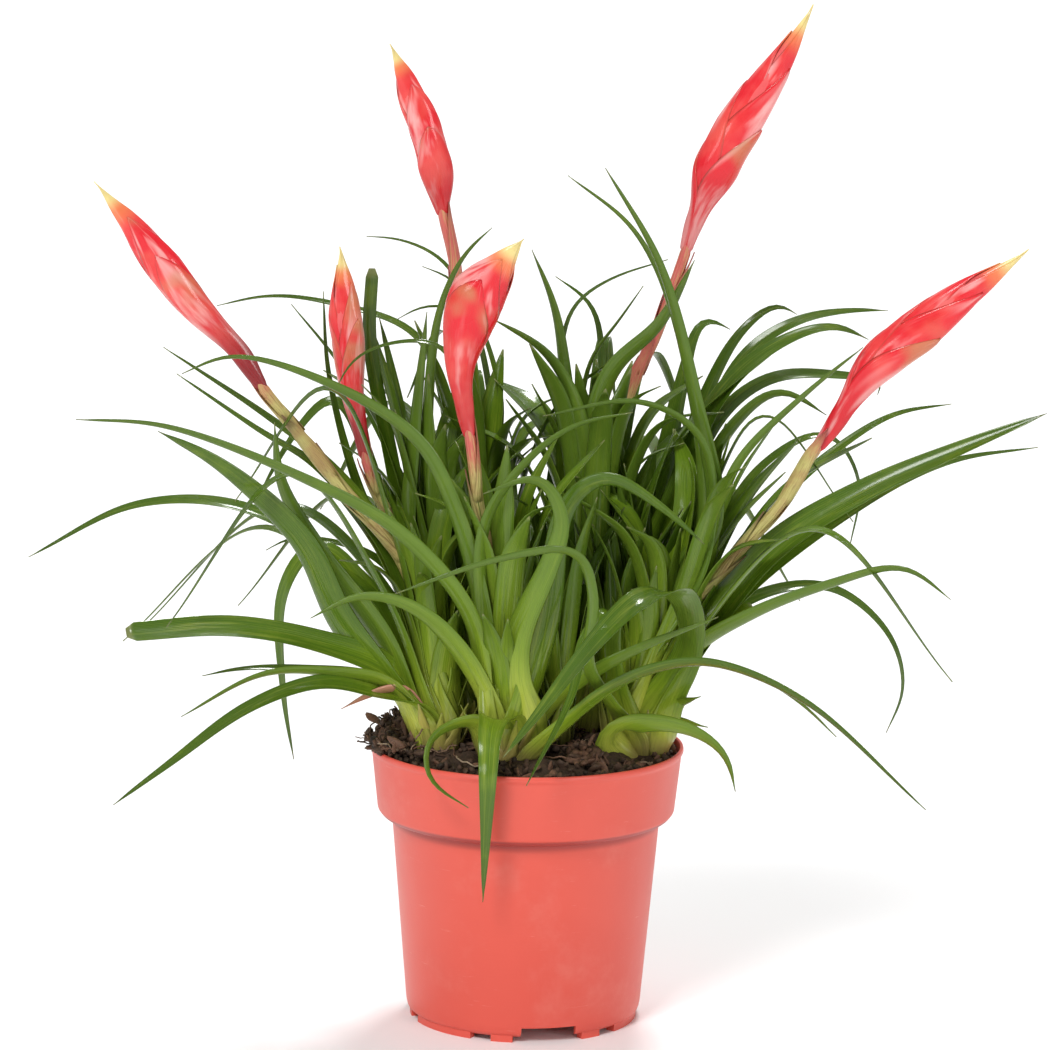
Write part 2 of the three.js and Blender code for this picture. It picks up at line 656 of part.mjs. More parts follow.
// A boat-shaped bract of the head: its keel follows one edge and its sides close over the middle.
function headBract(curve, shape, from, to, sign) {
  const steps = 4;
  const rings = Array.from({ length: steps }, (_, i) => {
    const t = i / (steps - 1);
    const s = THREE.MathUtils.lerp(from, to, t);
    const { centre, side, face } = frameAt(curve, s);
    const half = headHalf(shape, s);
    const keel = half * (0.55 + 0.45 * Math.min(1, 2.5 * t)) + HEAD_BRACT_TIP_OFF * t * t;
    const close = 1 - Math.pow(t, 2.4);
    const inner = THREE.MathUtils.lerp(keel - HEAD_BRACT_EDGE, half * 0.1, close);
    const deep = half * HEAD_FLATNESS * (0.15 + 0.85 * close) + 0.35;
    const point = (out, turn) =>
      centre.clone().addScaledVector(side, sign * out).addScaledVector(face, turn);
    return [point(inner, -deep), point(keel, 0), point(inner, deep), point(keel - HEAD_BRACT_THICK, 0)];
  });
  return solid(skin(rings));
}

// The bracts overlap in two ranks: each starts higher than the last and ends nearer the tip.
function head(rosette) {
  const whole = curveThrough(rosette.head);
  const length = whole.getLength();
  const points = whole.getSpacedPoints(24);
  points[0] = whole.getPointAt(HEAD_SEAT / length);
  const curve = new THREE.CatmullRomCurve3(points, false, "centripetal");
  const shape = rosette.headShape;
  const bracts = Array.from({ length: HEAD_BRACTS }, (_, i) => {
    const share = i / (HEAD_BRACTS - 1);
    const from = THREE.MathUtils.lerp(0.02, LAST_HEAD_BRACT, share);
    const to = THREE.MathUtils.lerp(shape.neckEnd + 0.3, 0.985, share);
    return headBract(curve, shape, from, to, i % 2 ? 1 : -1);
  });
  return joined([headCore(curve, shape), ...bracts]);
}

const astrid = new THREE.Group();
astrid.add(piece("pot", pot(), potPlastic));
astrid.add(piece("soil", soil(), peat));
for (const [place, rosette] of Object.entries(ROSETTES)) {
  const leaves = joined([bulb(rosette.crown), ...rosetteBlades(rosette)]);
  astrid.add(piece(`leaves_${place}`, largest(leaves.subtract(stalk(rosette, STALK_ROOM))), leafGreen));
  astrid.add(piece(`stalk_${place}`, largest(stalk(rosette)), stalkGreen));
  astrid.add(piece(`head_${place}`, largest(head(rosette)), bractRed));
}

export default astrid;
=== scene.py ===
"""Looks of a clump of six flowering bromeliad rosettes in a coral plastic nursery pot.

Sizes and places are in millimetres, as in the CAD source, and become metres where a mesh is made.
The camera looks along +Y. The pot stands on z = 0 with its axis on the origin.
"""

import math

import bmesh
import bpy
import numpy as np
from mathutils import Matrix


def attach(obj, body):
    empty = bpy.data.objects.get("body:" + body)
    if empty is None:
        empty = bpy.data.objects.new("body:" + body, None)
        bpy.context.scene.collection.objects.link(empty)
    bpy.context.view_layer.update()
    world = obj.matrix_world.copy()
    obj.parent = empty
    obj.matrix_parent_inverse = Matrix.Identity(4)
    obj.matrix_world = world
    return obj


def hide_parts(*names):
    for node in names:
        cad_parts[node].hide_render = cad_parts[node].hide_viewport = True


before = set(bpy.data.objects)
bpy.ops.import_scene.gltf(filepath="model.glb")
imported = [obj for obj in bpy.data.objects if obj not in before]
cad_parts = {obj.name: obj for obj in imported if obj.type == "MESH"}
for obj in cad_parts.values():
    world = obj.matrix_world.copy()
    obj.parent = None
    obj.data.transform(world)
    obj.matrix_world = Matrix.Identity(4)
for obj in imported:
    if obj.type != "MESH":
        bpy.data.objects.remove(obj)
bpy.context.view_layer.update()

MM = 0.001
FLOOR_REACH = 14.0  # metres

# Camera
EYE = np.array([-2.0, -1700.0, 486.0])
DEPRESSION = 9.87
CAMERA_ROLL = 0.88
LENS = 156.3
SENSOR_WIDTH = 36

# Pot
POT_HEIGHT = 106
RIM_RADIUS = 60
BAND_FOOT = 81
BAND_FOOT_RADIUS = 56.7
WALL_TOP_RADIUS = 51.2
WALL_FOOT_RADIUS = 45
WALL = 1.5
PAD_HEIGHT = 2
FLOOR_UNDER = 6.5
FLOOR_TOP = 8.5
POT_SIDES = 144
CORNER_POINTS = 4
NOTCH_COUNT = 3
NOTCH_WIDTH = 21
FIRST_NOTCH = -77
PAD_SPANS = [(18, 29), (40, 80), (91, 102)]
PAD_RADII = (40, 43.5)
DRAIN_COUNT = 6
DRAIN_RADIUS = 4
DRAIN_CIRCLE = 27
DRAIN_SIDES = 32
SHARP_ANGLE = 32

# Soil
GAP = 0.3
SOIL_EDGE = 103.5
SOIL_MOUND = 5.5
SOIL_HEAPS = [(-44, -4, 15, 9), (23, -24, 8, 4)]
SOIL_SIDES = 120
SOIL_RINGS = 44
CRUMBS = 900
CHIPS = 260
FIBRES = 110
HEAP = (-50, -8)
HEAP_SPREAD = (6, 11)
HEAP_FOOT = (-44, -6)
HEAP_REACH = 15
HEAP_SHARE = 0.22
HEAP_CRUMBS = 240
HEAP_CHIPS = 80
HEAP_FIBRES = 70
CLUMP = (24, -34)
CLUMP_SPREAD = 3.2
CLUMP_CHIPS = 40
SPROUT = (-40.5, -22)
SPROUT_ROWS = 12

# Rosettes
CROWN_LEVEL = 110
ROOT_LEVEL = 101
OUTER_SHEATH = 11.5
INNER_SHEATH = 4.0
SHEATH_LENGTH = 40
OFFSET_LEAVES = 13
BLADE_WRAP = math.radians(36)
RING_STEP = 3.2
SHOWN = 0.68
LOW_FILL = 9
GOLDEN_ANGLE = 137.5
GOLDEN_SHARE = 0.618
ACROSS = np.array([-1, -0.93, -0.68, -0.36, 0, 0.36, 0.68, 0.93, 1])


def leaf(width, away, *path):
    """A leaf: its width, how far away its tip lies and the points that its midrib passes."""
    return {"listed_width": width, "away": away, "path": path}


def cut_leaf(width, away, *path, tone=0.2):
    """A leaf with its end cut off."""
    return {**leaf(width, away, *path), "blunt": True, "tone": tone}


def full_leaf(width, away, *path):
    """A leaf that keeps its width almost to the tip."""
    return {**leaf(width, away, *path), "full": True}


def dark_leaf(width, away, *path):
    return {**leaf(width, away, *path), "tone": 1.0}


def dead_leaf(width, away, *path):
    return {**leaf(width, away, *path), "dry": 1.0}


ROSETTES = {
    "left": {
        "crown": (-34, -14),
        "fan": (150, 215, 3, 120, 11),
        "fill": (11, 12, 46, 102),
        "leaves": [
            leaf(11, -105, (-42, 119), (-57, 124), (-78, 128), (-106, 118), (-137, 95), (-158, 79)),
            dead_leaf(7, -40, (-46, 126), (-57, 125), (-71, 118)),
            leaf(7, -75, (-52, 127), (-75, 132), (-101, 131), (-132, 114)),
            leaf(8, -30, (-52, 126), (-87, 133), (-110, 133), (-124, 130)),
            cut_leaf(15, -55, (-51, 131), (-79, 143), (-114, 149), (-153, 146), tone=0.85),
            leaf(12, 15, (-60, 160), (-80, 181), (-93, 164), (-93, 125), (-89, 98)),
            leaf(11, 20, (-57, 160), (-105, 194), (-148, 196), (-190, 175)),
            full_leaf(16, -45, (-72, 152), (-86, 182), (-117, 211), (-141, 224)),
            full_leaf(13, -25, (-56, 145), (-80, 178), (-95, 206), (-97, 228)),
            leaf(9, 0, (-53, 176), (-83, 213), (-100, 223), (-134, 246)),
            leaf(8, 20, (-49, 176), (-74, 210), (-98, 229), (-139, 256)),
        ],
        "stalk": [(-33, 126, -14), (-49, 176, -13), (-74, 206, -12),
        (-87, 223, -12), (-100, 239, -12)],
        "blush": 0.0,
        "head": [
            (-100, 239, -12), (-111, 255, -13), (-130, 275, -15), (-152, 303, -17), (-165, 318, -18)
        ],
        "head_shape": (14, 7.3, 0.2, 0.5, 0.56, 1.3),
        "neck_dark": 1.0,
        "turn": 78,
    },
    "middle": {
        "crown": (-24, 8),
        "fan": (150, 185, 1, 125, 5),
        "fill": (13, 8, 42, 146),
        "leaves": [
            leaf(9, 25, (-49, 168), (-65, 202), (-77, 247), (-79, 278)),
            cut_leaf(11, 14, (-45, 176), (-55, 222), (-62, 260), (-61, 287)),
            full_leaf(12, 26, (-38, 176), (-48, 222), (-54, 252), (-58, 269)),
            full_leaf(12, -2, (-41, 153), (-47, 184), (-45, 222), (-40, 271)),
            leaf(11, 12, (-38, 168), (-39, 230), (-35, 272), (-26, 293), (-16, 303)),
        ],
        "stalk": [(-26, 142, 8), (-50, 187, 6), (-58, 202, 5), (-62, 213, 3)],
        "blush": 0.1,
        "head": [(-62, 213, 3), (-67, 236, 3), (-70, 263, 2), (-72, 285, 2), (-73, 295, 2)],
        "head_shape": (12, 5.2, 0.12, 0.52, 0.6, 1.6),
        "neck_dark": 0.8,
        "turn": 35,
    },
    "front": {
        "crown": (-8, -28),
        "fill": (12, 8, 42, 120),
        "offsets": [(12, -9, 112), (-8, 2, 118)],
        "leaves": [
            dark_leaf(
                13, 0, (-10, 114, -40), (-13, 112, -56), (-14, 97, -65),
                (-15, 67, -64), (-16, 43, -62)
            ),
            leaf(
                6, 0, (-18, 113, -42), (-31, 111, -50), (-38, 104, -58),
                (-37, 91, -61), (-22, 80, -66)
            ),
            dark_leaf(7, -146, (18, 116), (31, 127), (47, 135), (69, 138), (105, 124), (153, 82)),
            leaf(9, -48, (12, 123), (36, 140), (72, 156)),
            leaf(12, -70, (-18, 126), (-41, 156), (-64, 162), (-83, 153)),
            leaf(10, -85, (-22, 153), (-49, 186), (-87, 207), (-139, 226), (-172, 228)),
            leaf(17, -75, (-6, 142), (7, 175), (12, 192), (3, 208), (-18, 202)),
            dark_leaf(17, -60, (8, 158), (14, 198), (28, 209), (49, 198), (66, 184)),
            leaf(11, -45, (-19, 161), (-29, 196), (-43, 222), (-79, 244), (-114, 253), (-132, 246)),
            leaf(10, -45, (-17, 153), (-17, 190), (-3, 213), (15, 228), (38, 234)),
            leaf(7, -15, (-23, 207), (-33, 257), (-53, 259), (-68, 252), (-74, 241)),
        ],
        "stalk": [(-9, 130, -28), (-18, 188, -28), (-20, 200, -28), (-23, 222, -28)],
        "blush": 0.12,
        "head": [
            (-23, 222, -28), (-27, 245, -29), (-26, 260, -30),
            (-22, 275, -32), (-13, 288, -34), (-4, 299, -36)
        ],
        "head_shape": (20.5, 6.6, 0.16, 0.62, 0.66, 1.3),
        "neck_dark": 0.35,
        "turn": 115,
    },
    "back": {
        "crown": (-16, 32),
        "fan": (78, 165, 6, 107, 8),
        "offsets": [(-40, 30, 110)],
        "fill": (18, 10, 60, 148),
        "leaves": [
            leaf(7, 35, (-57, 176), (-76, 183), (-91, 184), (-100, 179)),
            leaf(12, 45, (-49, 176), (-74, 238), (-87, 227), (-103, 200)),
            leaf(6, 60, (-49, 207), (-71, 248), (-91, 273)),
            leaf(8, 50, (-31, 219), (-43, 261), (-78, 274), (-100, 276), (-119, 272)),
            leaf(7, 30, (-20, 230), (-28, 271), (-42, 273), (-51, 268)),
            leaf(7, 40, (-12, 238), (-29, 282), (-42, 288)),
            leaf(7, 50, (-16, 238), (-32, 288), (-50, 298), (-63, 299)),
        ],
        "stalk": [(-18, 146, 32), (-25, 238, 32), (-30, 289, 32), (-34, 306, 32)],
        "blush": 0.4,
        "head": [(-34, 306, 32), (-39, 332, 32), (-45, 348, 32), (-55, 371, 32)],
        "head_shape": (13.4, 5.6, 0.0, 0.32, 0.42, 1.7),
        "neck_dark": 0.4,
        "turn": 70,
    },
    "rear": {
        "crown": (21, 22),
        "fan": (40, 95, 5, 120, 6),
        "offsets": [(3, 8, 96), (42, 24, 120), (8, 46, 130)],
        "fill": (23, 10, 70, 148),
        "leaves": [
            full_leaf(12, 70, (53, 201), (65, 239), (78, 265), (92, 276), (99, 272)),
            full_leaf(11, 50, (56, 201), (80, 256), (100, 270), (121, 274), (133, 274)),
            full_leaf(15, 20, (53, 197), (71, 241), (91, 260), (113, 268), (126, 263)),
            full_leaf(12, 35, (56, 201), (73, 235), (91, 248), (119, 249), (133, 247), (130, 242)),
            full_leaf(12, 0, (60, 197), (75, 228), (93, 243), (111, 234)),
            full_leaf(16, 60, (49, 208), (57, 247), (64, 270), (74, 266)),
            leaf(11, 45, (26, 200), (26, 250), (22, 274), (8, 285)),
            full_leaf(12, 20, (19, 185), (13, 238), (8, 272), (-1, 295)),
            leaf(6, 30, (11, 223), (14, 272), (28, 284), (50, 292)),
            leaf(7, 20, (17, 215), (22, 254), (31, 267), (41, 282)),
            full_leaf(12, -5, (23, 177), (17, 234), (5, 256), (-16, 269)),
            full_leaf(16, 0, (22, 208), (29, 248), (48, 268), (60, 292)),
            leaf(8, -25, (27, 146), (18, 178), (7, 192), (-8, 202)),
            leaf(14, 0, (27, 162), (28, 200), (30, 239)),
        ],
        "stalk": [(22, 138, 22), (26, 193, 20), (35, 238, 18), (46, 263, 16), (56, 293, 15)],
        "blush": 0.35,
        "head": [
            (56, 293, 15), (60, 307, 14), (66, 323, 13),
            (75, 342, 12), (89, 364, 11), (102, 388, 10)
        ],
        "head_shape": (17.5, 7.0, 0.15, 0.35, 0.46, 1.2),
        "neck_dark": 0.3,
        "turn": 28,
    },
    "right": {
        "crown": (44, -6),
        "fan": (-25, 10, 2, 110, 9),
        "fill": (17, 10, 62, 120),
        "offsets": [(33, 6, 128), (45, 12, 112)],
        "leaves": [
            leaf(
                12, 0, (32, 110, -30), (47, 114, -38), (64, 111, -36),
                (76, 102, -36), (80, 88, -37)
            ),
            leaf(9, -30, (49, 117), (66, 125)),
            leaf(5, -20, (51, 115), (69, 113)),
            leaf(5, -60, (62, 137), (83, 135), (104, 123), (118, 110)),
            full_leaf(
                16, 0, (60, 143, -26), (57, 164, -46), (42, 162, -66),
                (23, 142, -80), (5, 118, -88), (-9, 100, -94)
            ),
            leaf(10, -80, (31, 146), (32, 159), (21, 146), (18, 127), (0, 89)),
            leaf(
                9, 0, (22, 138, -62), (24, 162, -75), (17, 180, -86),
                (-11, 177, -94), (-51, 163, -99)
            ),
            cut_leaf(14, -5, (61, 143), (85, 160)),
            leaf(10, -40, (62, 141), (85, 157), (114, 169), (142, 176), (160, 164)),
            leaf(8, 25, (61, 143), (86, 164), (114, 168), (137, 150), (143, 129), (137, 112)),
            full_leaf(18, -10, (65, 147), (91, 182), (124, 204), (164, 223), (194, 236)),
            leaf(10, 5, (76, 159), (125, 200), (158, 217), (191, 223)),
            leaf(10, 30, (65, 158), (94, 201), (119, 224), (137, 235), (158, 239)),
            leaf(7, 40, (65, 174), (86, 213), (111, 227), (124, 209), (121, 183)),
            leaf(10, -20, (65, 162), (77, 213), (101, 240), (124, 260)),
            leaf(9, -30, (66, 178), (64, 224), (41, 238), (4, 232)),
            leaf(9, -5, (64, 193), (53, 269), (37, 303), (12, 323)),
            leaf(14, -20, (69, 193), (61, 239), (47, 290), (26, 326)),
        ],
        "stalk": [(43, 127, -6), (63, 162, -8), (78, 180, -10), (94, 199, -12), (106, 219, -14)],
        "blush": 0.0,
        "head": [
            (106, 219, -14), (112, 227, -14), (119, 239, -15),
            (129, 253, -16), (151, 272, -18), (185, 298, -20)
        ],
        "head_shape": (16.5, 7.0, 0.17, 0.42, 0.5, 1.35),
        "neck_dark": 0.25,
        "turn": 42,
    },
}

# Numbers and curves


def draw(seed):
    """A seeded draw of numbers from 0 to 1, the same as in the CAD source."""
    state = seed * 7919

    def number():
        nonlocal state
        state = (state * 1664525 + 1013904223) % 4294967296
        return state / 4294967296

    return number


def unit(v):
    v = np.asarray(v, float)
    return v / np.linalg.norm(v, axis=-1, keepdims=True)


def smooth(t):
    t = np.clip(t, 0, 1)
    return t * t * (3 - 2 * t)


def lerp(a, b, t):
    return a + (b - a) * t


def level(angle, squeeze=1.0):
    """The level direction at an angle, which may be squeezed along Y."""
    return np.array([math.cos(angle), squeeze * math.sin(angle), 0.0])


def seen(across, up, away):
    """The point that the eye sees across and up in the plane y = 0, moved away from it."""
    return lerp(EYE, np.array([across, 0.0, up]), 1 + away / -EYE[1])


def curve_through(points, per_span=24):
    """Dense points of a centripetal Catmull-Rom curve, as the CAD source draws it."""
    p = [np.asarray(q, float) for q in points]
    p = [2 * p[0] - p[1], *p, 2 * p[-1] - p[-2]]
    dense = []
    for a, b, c, d in zip(p, p[1:], p[2:], p[3:]):
        t1 = np.linalg.norm(b - a) ** 0.5
        t2 = t1 + np.linalg.norm(c - b) ** 0.5
        t3 = t2 + np.linalg.norm(d - c) ** 0.5
        t = np.linspace(t1, t2, per_span, endpoint=False)[:, None]
        ab = lerp(a, b, t / t1)
        bc = lerp(b, c, (t - t1) / (t2 - t1))
        cd = lerp(c, d, (t - t2) / (t3 - t2))
        before, after = lerp(ab, bc, t / t2), lerp(bc, cd, (t - t1) / (t3 - t1))
        dense.append(lerp(before, after, (t - t1) / (t2 - t1)))
    return np.vstack([*dense, p[-2][None]])


def steps_of(points):
    return np.linalg.norm(np.diff(points, axis=0), axis=1)


def length_of(points):
    return float(steps_of(points).sum())


def evenly(points, count):
    """The curve again, as points at even steps of its length."""
    walked = np.concatenate([[0], np.cumsum(steps_of(points))])
    at = np.linspace(0, walked[-1], count)
    return np.stack([np.interp(at, walked, points[:, k]) for k in range(3)], axis=1)


def eased(points):
    """The points with the kinks between them rounded off."""
    points = points.copy()
    for _ in range(4):
        points[1:-1] = (points[:-2] + 2 * points[1:-1] + points[2:]) / 4
    return points


def frames_along(points, side):
    """Directions along, to the side of and up from a curve, carried along it without twist."""
    along = unit(np.gradient(points, axis=0))
    sides = []
    for t in along:
        side = unit(side - t * np.dot(side, t))
        sides.append(side)
    sides = np.array(sides)
    return along, sides, np.cross(sides, along)


# Meshes


class Skin:
    """Closed skins gathered into one mesh, with a few numbers kept at each point for the material."""

    def __init__(self, *names):
        self.points, self.faces, self.count = [], [], 0
        self.values = {name: [] for name in names}

    def add(self, rings, **values):
        rows, sides, _ = rings.shape
        here = np.arange(rows - 1)[:, None] * sides + np.arange(sides)
        beside = np.arange(rows - 1)[:, None] * sides + (np.arange(sides) + 1) % sides
        quads = np.stack([here, beside, beside + sides, here + sides], -1).reshape(-1, 4) + self.count
        self.faces += quads.tolist()
        last = self.count + (rows - 1) * sides
        self.faces.append(list(range(self.count + sides - 1, self.count - 1, -1)))
        self.faces.append(list(range(last, last + sides)))
        self.take(rings.reshape(-1, 3), (rows, sides), values)

    def add_solid(self, points, faces, **values):
        self.faces += (np.asarray(faces) + self.count).tolist()
        self.take(points, (len(points),), values)

    def take(self, points, shape, values):
        self.points.append(points)
        self.count += len(points)
        for name, kept in self.values.items():
            kept.append(np.broadcast_to(values[name], shape).reshape(-1))

    def mesh(self, name):
        mesh = bpy.data.meshes.new(name)
        mesh.from_pydata((np.vstack(self.points) * MM).tolist(), [], self.faces)
        for key, kept in self.values.items():
            attribute = mesh.attributes.new(key, "FLOAT", "POINT")
            attribute.data.foreach_set("value", np.concatenate(kept).astype(np.float32))
        return mesh

    def piece(self, name, material, slot, *nodes):
        finish_piece(self.mesh(name), name, material, nodes)


def link(name, data):
    """A new object in the scene, of a mesh, a light or a camera."""
    made = bpy.data.objects.new(name, data)
    bpy.context.scene.collection.objects.link(made)
    return made


def turn_outward(mesh):
    """Turns the faces of a mesh to the outside."""
    shape = bmesh.new()
    shape.from_mesh(mesh)
    bmesh.ops.recalc_face_normals(shape, faces=shape.faces)
    shape.to_mesh(mesh)
    shape.free()


def finish_piece(mesh, name, material, nodes, sharp=None):
    turn_outward(mesh)
    mesh.shade_smooth()
    if sharp:
        mesh.set_sharp_from_angle(angle=math.radians(sharp))
    mesh.materials.append(material)
    made = link(name, mesh)
    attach(made, "root")
    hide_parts(*nodes)


def strap(points, side, half, wrap, thick, roll=0.0):
    """Rings of a strap curled round its midrib. `half` is half its width along the curl."""
    _, sides, faces = frames_along(points, side)
    turn = np.broadcast_to(roll, len(points))[:, None]
    c, s = np.cos(turn), np.sin(turn)
    sides, faces = sides * c + faces * s, faces * c - sides * s
    angle = (ACROSS * wrap[:, None])[..., None]
    radius = (half / wrap)[:, None, None]
    sides, faces = sides[:, None], faces[:, None]
    middle = points[:, None] + sides * radius * np.sin(angle) + faces * radius * (1 - np.cos(angle))
    normal = faces * np.cos(angle) - sides * np.sin(angle)
    edge = (0.15 + 0.85 * (1 - np.abs(ACROSS) ** 6))[None, :, None]
    lift = normal * edge * (thick / 2)[:, None, None]
    upper, lower = middle + lift, middle - lift
    rings = np.concatenate([upper, lower[:, -2:0:-1]], axis=1)
    across = np.concatenate([ACROSS, ACROSS[-2:0:-1]])
    under = np.concatenate([np.zeros(len(ACROSS)), np.ones(len(ACROSS) - 2)])
    return rings, across, under


def tube(points, radius, sides):
    """Rings of a round tube."""
    _, side, face = frames_along(points, np.array([1.0, 0.0, 0.0]))
    angle = np.linspace(0, 2 * math.pi, sides, endpoint=False)[None, :, None]
    radius = np.broadcast_to(radius, len(points))[:, None, None]
    return points[:, None] + radius * (side[:, None] * np.cos(angle) + face[:, None] * np.sin(angle))


# Materials


class Look:
    """A material, with short names for the nodes that it is made of."""

    def __init__(self, name, **own):
        self.material = bpy.data.materials.new(name)
        self.material.use_nodes = True
        self.tree = self.material.node_tree
        self.shader = self.tree.nodes["Principled BSDF"]
        for key, value in own.items():
            self.shader.inputs[key.replace("_", " ").title().replace("Ior", "IOR")].default_value = value

    def node(self, kind, inputs=None, output=0, **settings):
        made = self.tree.nodes.new(kind)
        for key, value in settings.items():
            setattr(made, key, value)
        for key, value in (inputs or {}).items():
            self.put(made.inputs[key], value)
        return made.outputs[output]

    def put(self, socket, value):
        if isinstance(value, bpy.types.NodeSocket):
            self.tree.links.new(value, socket)
        elif isinstance(value, tuple):
            socket.default_value = (*value, 1.0) if len(socket.default_value) == 4 else value
        else:
            socket.default_value = value

    def values(self, *names):
        """The numbers that the mesh keeps at each point under these names."""
        return [self.node("ShaderNodeAttribute", output=2, attribute_name=name) for name in names]

    def math(self, operation, a, b=0.0):
        return self.node("ShaderNodeMath", {0: a, 1: b}, operation=operation)

    def times(self, a, b):
        return self.math("MULTIPLY", a, b)

    def plus(self, a, b):
        return self.math("ADD", a, b)

    def lines(self, across, pitch):
        """Fine lines that run along a piece."""
        return self.math("SINE", self.times(across, pitch))

    def layers(self, colour, *coats):
        """The colour with coats over it in turn, each given as its colour and its share."""
        for coat, share in coats:
            inputs = {6: colour, 7: coat, 0: share}
            colour = self.node("ShaderNodeMix", inputs, output=2, data_type="RGBA")
        return colour

    def span(self, value, low, high, to_low=0.0, to_high=1.0):
        inputs = {0: value, 1: low, 2: high, 3: to_low, 4: to_high}
        return self.node("ShaderNodeMapRange", inputs, interpolation_type="SMOOTHSTEP")

    def noise(self, scale, detail=3.0, roughness=0.55, vector=None):
        inputs = {"Scale": scale, "Detail": detail, "Roughness": roughness}
        inputs["Vector"] = vector or self.place()
        return self.node("ShaderNodeTexNoise", inputs)

    def place(self, stretch=None):
        spot = self.node("ShaderNodeTexCoord", output=3)
        if stretch:
            spot = self.node("ShaderNodeVectorMath", {0: spot, 1: stretch}, operation="MULTIPLY")
        return spot

    def vector(self, x, y, z):
        return self.node("ShaderNodeCombineXYZ", {0: x, 1: y, 2: z})

    def ramp(self, value, *stops):
        made = self.tree.nodes.new("ShaderNodeValToRGB")
        while len(made.color_ramp.elements) < len(stops):
            made.color_ramp.elements.new(0.5)
        for element, (at, colour) in zip(made.color_ramp.elements, stops):
            element.position = at
            element.color = (*colour, 1.0)
        self.put(made.inputs[0], value)
        return made.outputs[0]

    def bump(self, height, distance, below=None):
        inputs = {"Height": height, "Distance": distance * MM, "Strength": 1.0}
        if below is not None:
            inputs["Normal"] = below
        return self.node("ShaderNodeBump", inputs)

    def finish(self, colour, roughness=None, normal=None):
        self.put(self.shader.inputs["Base Color"], colour)
        if roughness is not None:
            self.put(self.shader.inputs["Roughness"], roughness)
        if normal is not None:
            self.put(self.shader.inputs["Normal"], normal)
        return self.material


PALE = (0.50, 0.54, 0.080)
FRESH = (0.240, 0.350, 0.018)
GREEN = (0.128, 0.228, 0.011)
DEEP = (0.050, 0.108, 0.008)
PAINTED_SHADE = (0.010, 0.026, 0.003)
UNDERSIDE = (0.120, 0.200, 0.022)
HUSK = (0.29, 0.19, 0.09)
STRAW = (0.42, 0.38, 0.20)
DEAD = (0.55, 0.26, 0.16)


def leaf_look():
    """Pale sheaths that turn green up the blade, parallel veins, straw tips, a dull paler underside.

    `reach` runs up from the crown, `tip` along the leaf and `across` from edge to edge. `tone` is how
    dark the leaf is, and from 0.95 up it mixes in painted shade; `under` marks its underside and `dry` a
    dead leaf.
    """
    look = Look(
        "leaf",
        Specular_IOR_Level=0.12,
        Specular_Tint=(0.85, 0.97, 0.75, 1.0),
        Coat_Weight=0.45,
        Coat_Roughness=0.12,
    )
    reach, tip, across, tone, under, dry = look.values("reach", "tip", "across", "tone", "under", "dry")

    def streaks(wide, long, shift):
        """Noise drawn out along the blade, another for each tone."""
        spot = look.vector(look.times(across, wide), look.times(reach, long), look.times(tone, shift))
        return look.noise(2.4, 3.0, 0.6, spot)

    mottle = look.noise(60.0, 4.0)
    up = look.plus(reach, look.times(look.math("SUBTRACT", tone, 0.5), 0.25))
    dark = look.span(tone, 0.1, 1.0, 0.0, 0.8)
    grain = streaks(1.6, 1.3, 9.0)
    fibre = streaks(8.0, 0.9, 7.0)
    veins = look.span(look.lines(across, 44.0), -0.2, 1.0)
    under = look.times(under, look.span(tone, 1.0, 0.85, 0.2, 1.0))
    from_rib = look.math("ABSOLUTE", across)
    foot = look.span(look.plus(reach, look.times(mottle, 0.2)), 0.38, 0.16)
    blade = look.layers(
        look.ramp(look.times(up, 0.6), (0.12, PALE), (0.34, FRESH), (0.58, GREEN), (0.96, DEEP)),
        (DEEP, look.times(dark, look.span(reach, 0.3, 1.0))),
        (FRESH, look.span(mottle, 0.52, 0.75, 0.0, 0.28)),
        (DEEP, look.span(grain, 0.5, 0.72, 0.0, 0.5)),
        (PALE, look.span(grain, 0.48, 0.28, 0.0, 0.2)),
        (DEEP, look.span(fibre, 0.5, 0.7, 0.0, 0.35)),
        (PALE, look.span(fibre, 0.46, 0.3, 0.0, 0.14)),
        (FRESH, look.times(veins, 0.13)),
        (UNDERSIDE, look.times(under, look.span(reach, 0.3, 0.9, 0.0, 0.55))),
        (DEEP, look.span(from_rib, 0.45, 0.95, 0.0, 0.35)),
        (PALE, look.span(from_rib, 0.94, 1.0, 0.0, 0.12)),
        (HUSK, look.times(foot, 0.6)),
        (STRAW, look.span(look.plus(tip, look.times(mottle, 0.02)), 0.985, 1.005, 0.0, 0.35)),
        # Painted shade: tones above 0.95 turn the leaf near black, standing in for shade deep in the
        # clump.
        (PAINTED_SHADE, look.span(tone, 0.95, 1.5, 0.0, 0.9)),
        (DEAD, dry),
    )
    rough = look.plus(look.span(mottle, 0.3, 0.7, 0.17, 0.27), look.times(under, 0.12))
    normal = look.bump(look.noise(150.0, 2.0), 0.2, look.bump(veins, 0.05))
    return look.finish(blade, rough, normal)


RED = (0.70, 0.012, 0.022)
CORAL = (0.80, 0.100, 0.080)
PAINTED_HIGHLIGHT_PINK = (0.88, 0.46, 0.44)
CREAM = (0.80, 0.64, 0.25)
ORANGE = (0.82, 0.24, 0.08)
OLIVE = (0.50, 0.25, 0.11)
CRIMSON = (0.19, 0.003, 0.006)
SEAM = (0.40, 0.05, 0.03)


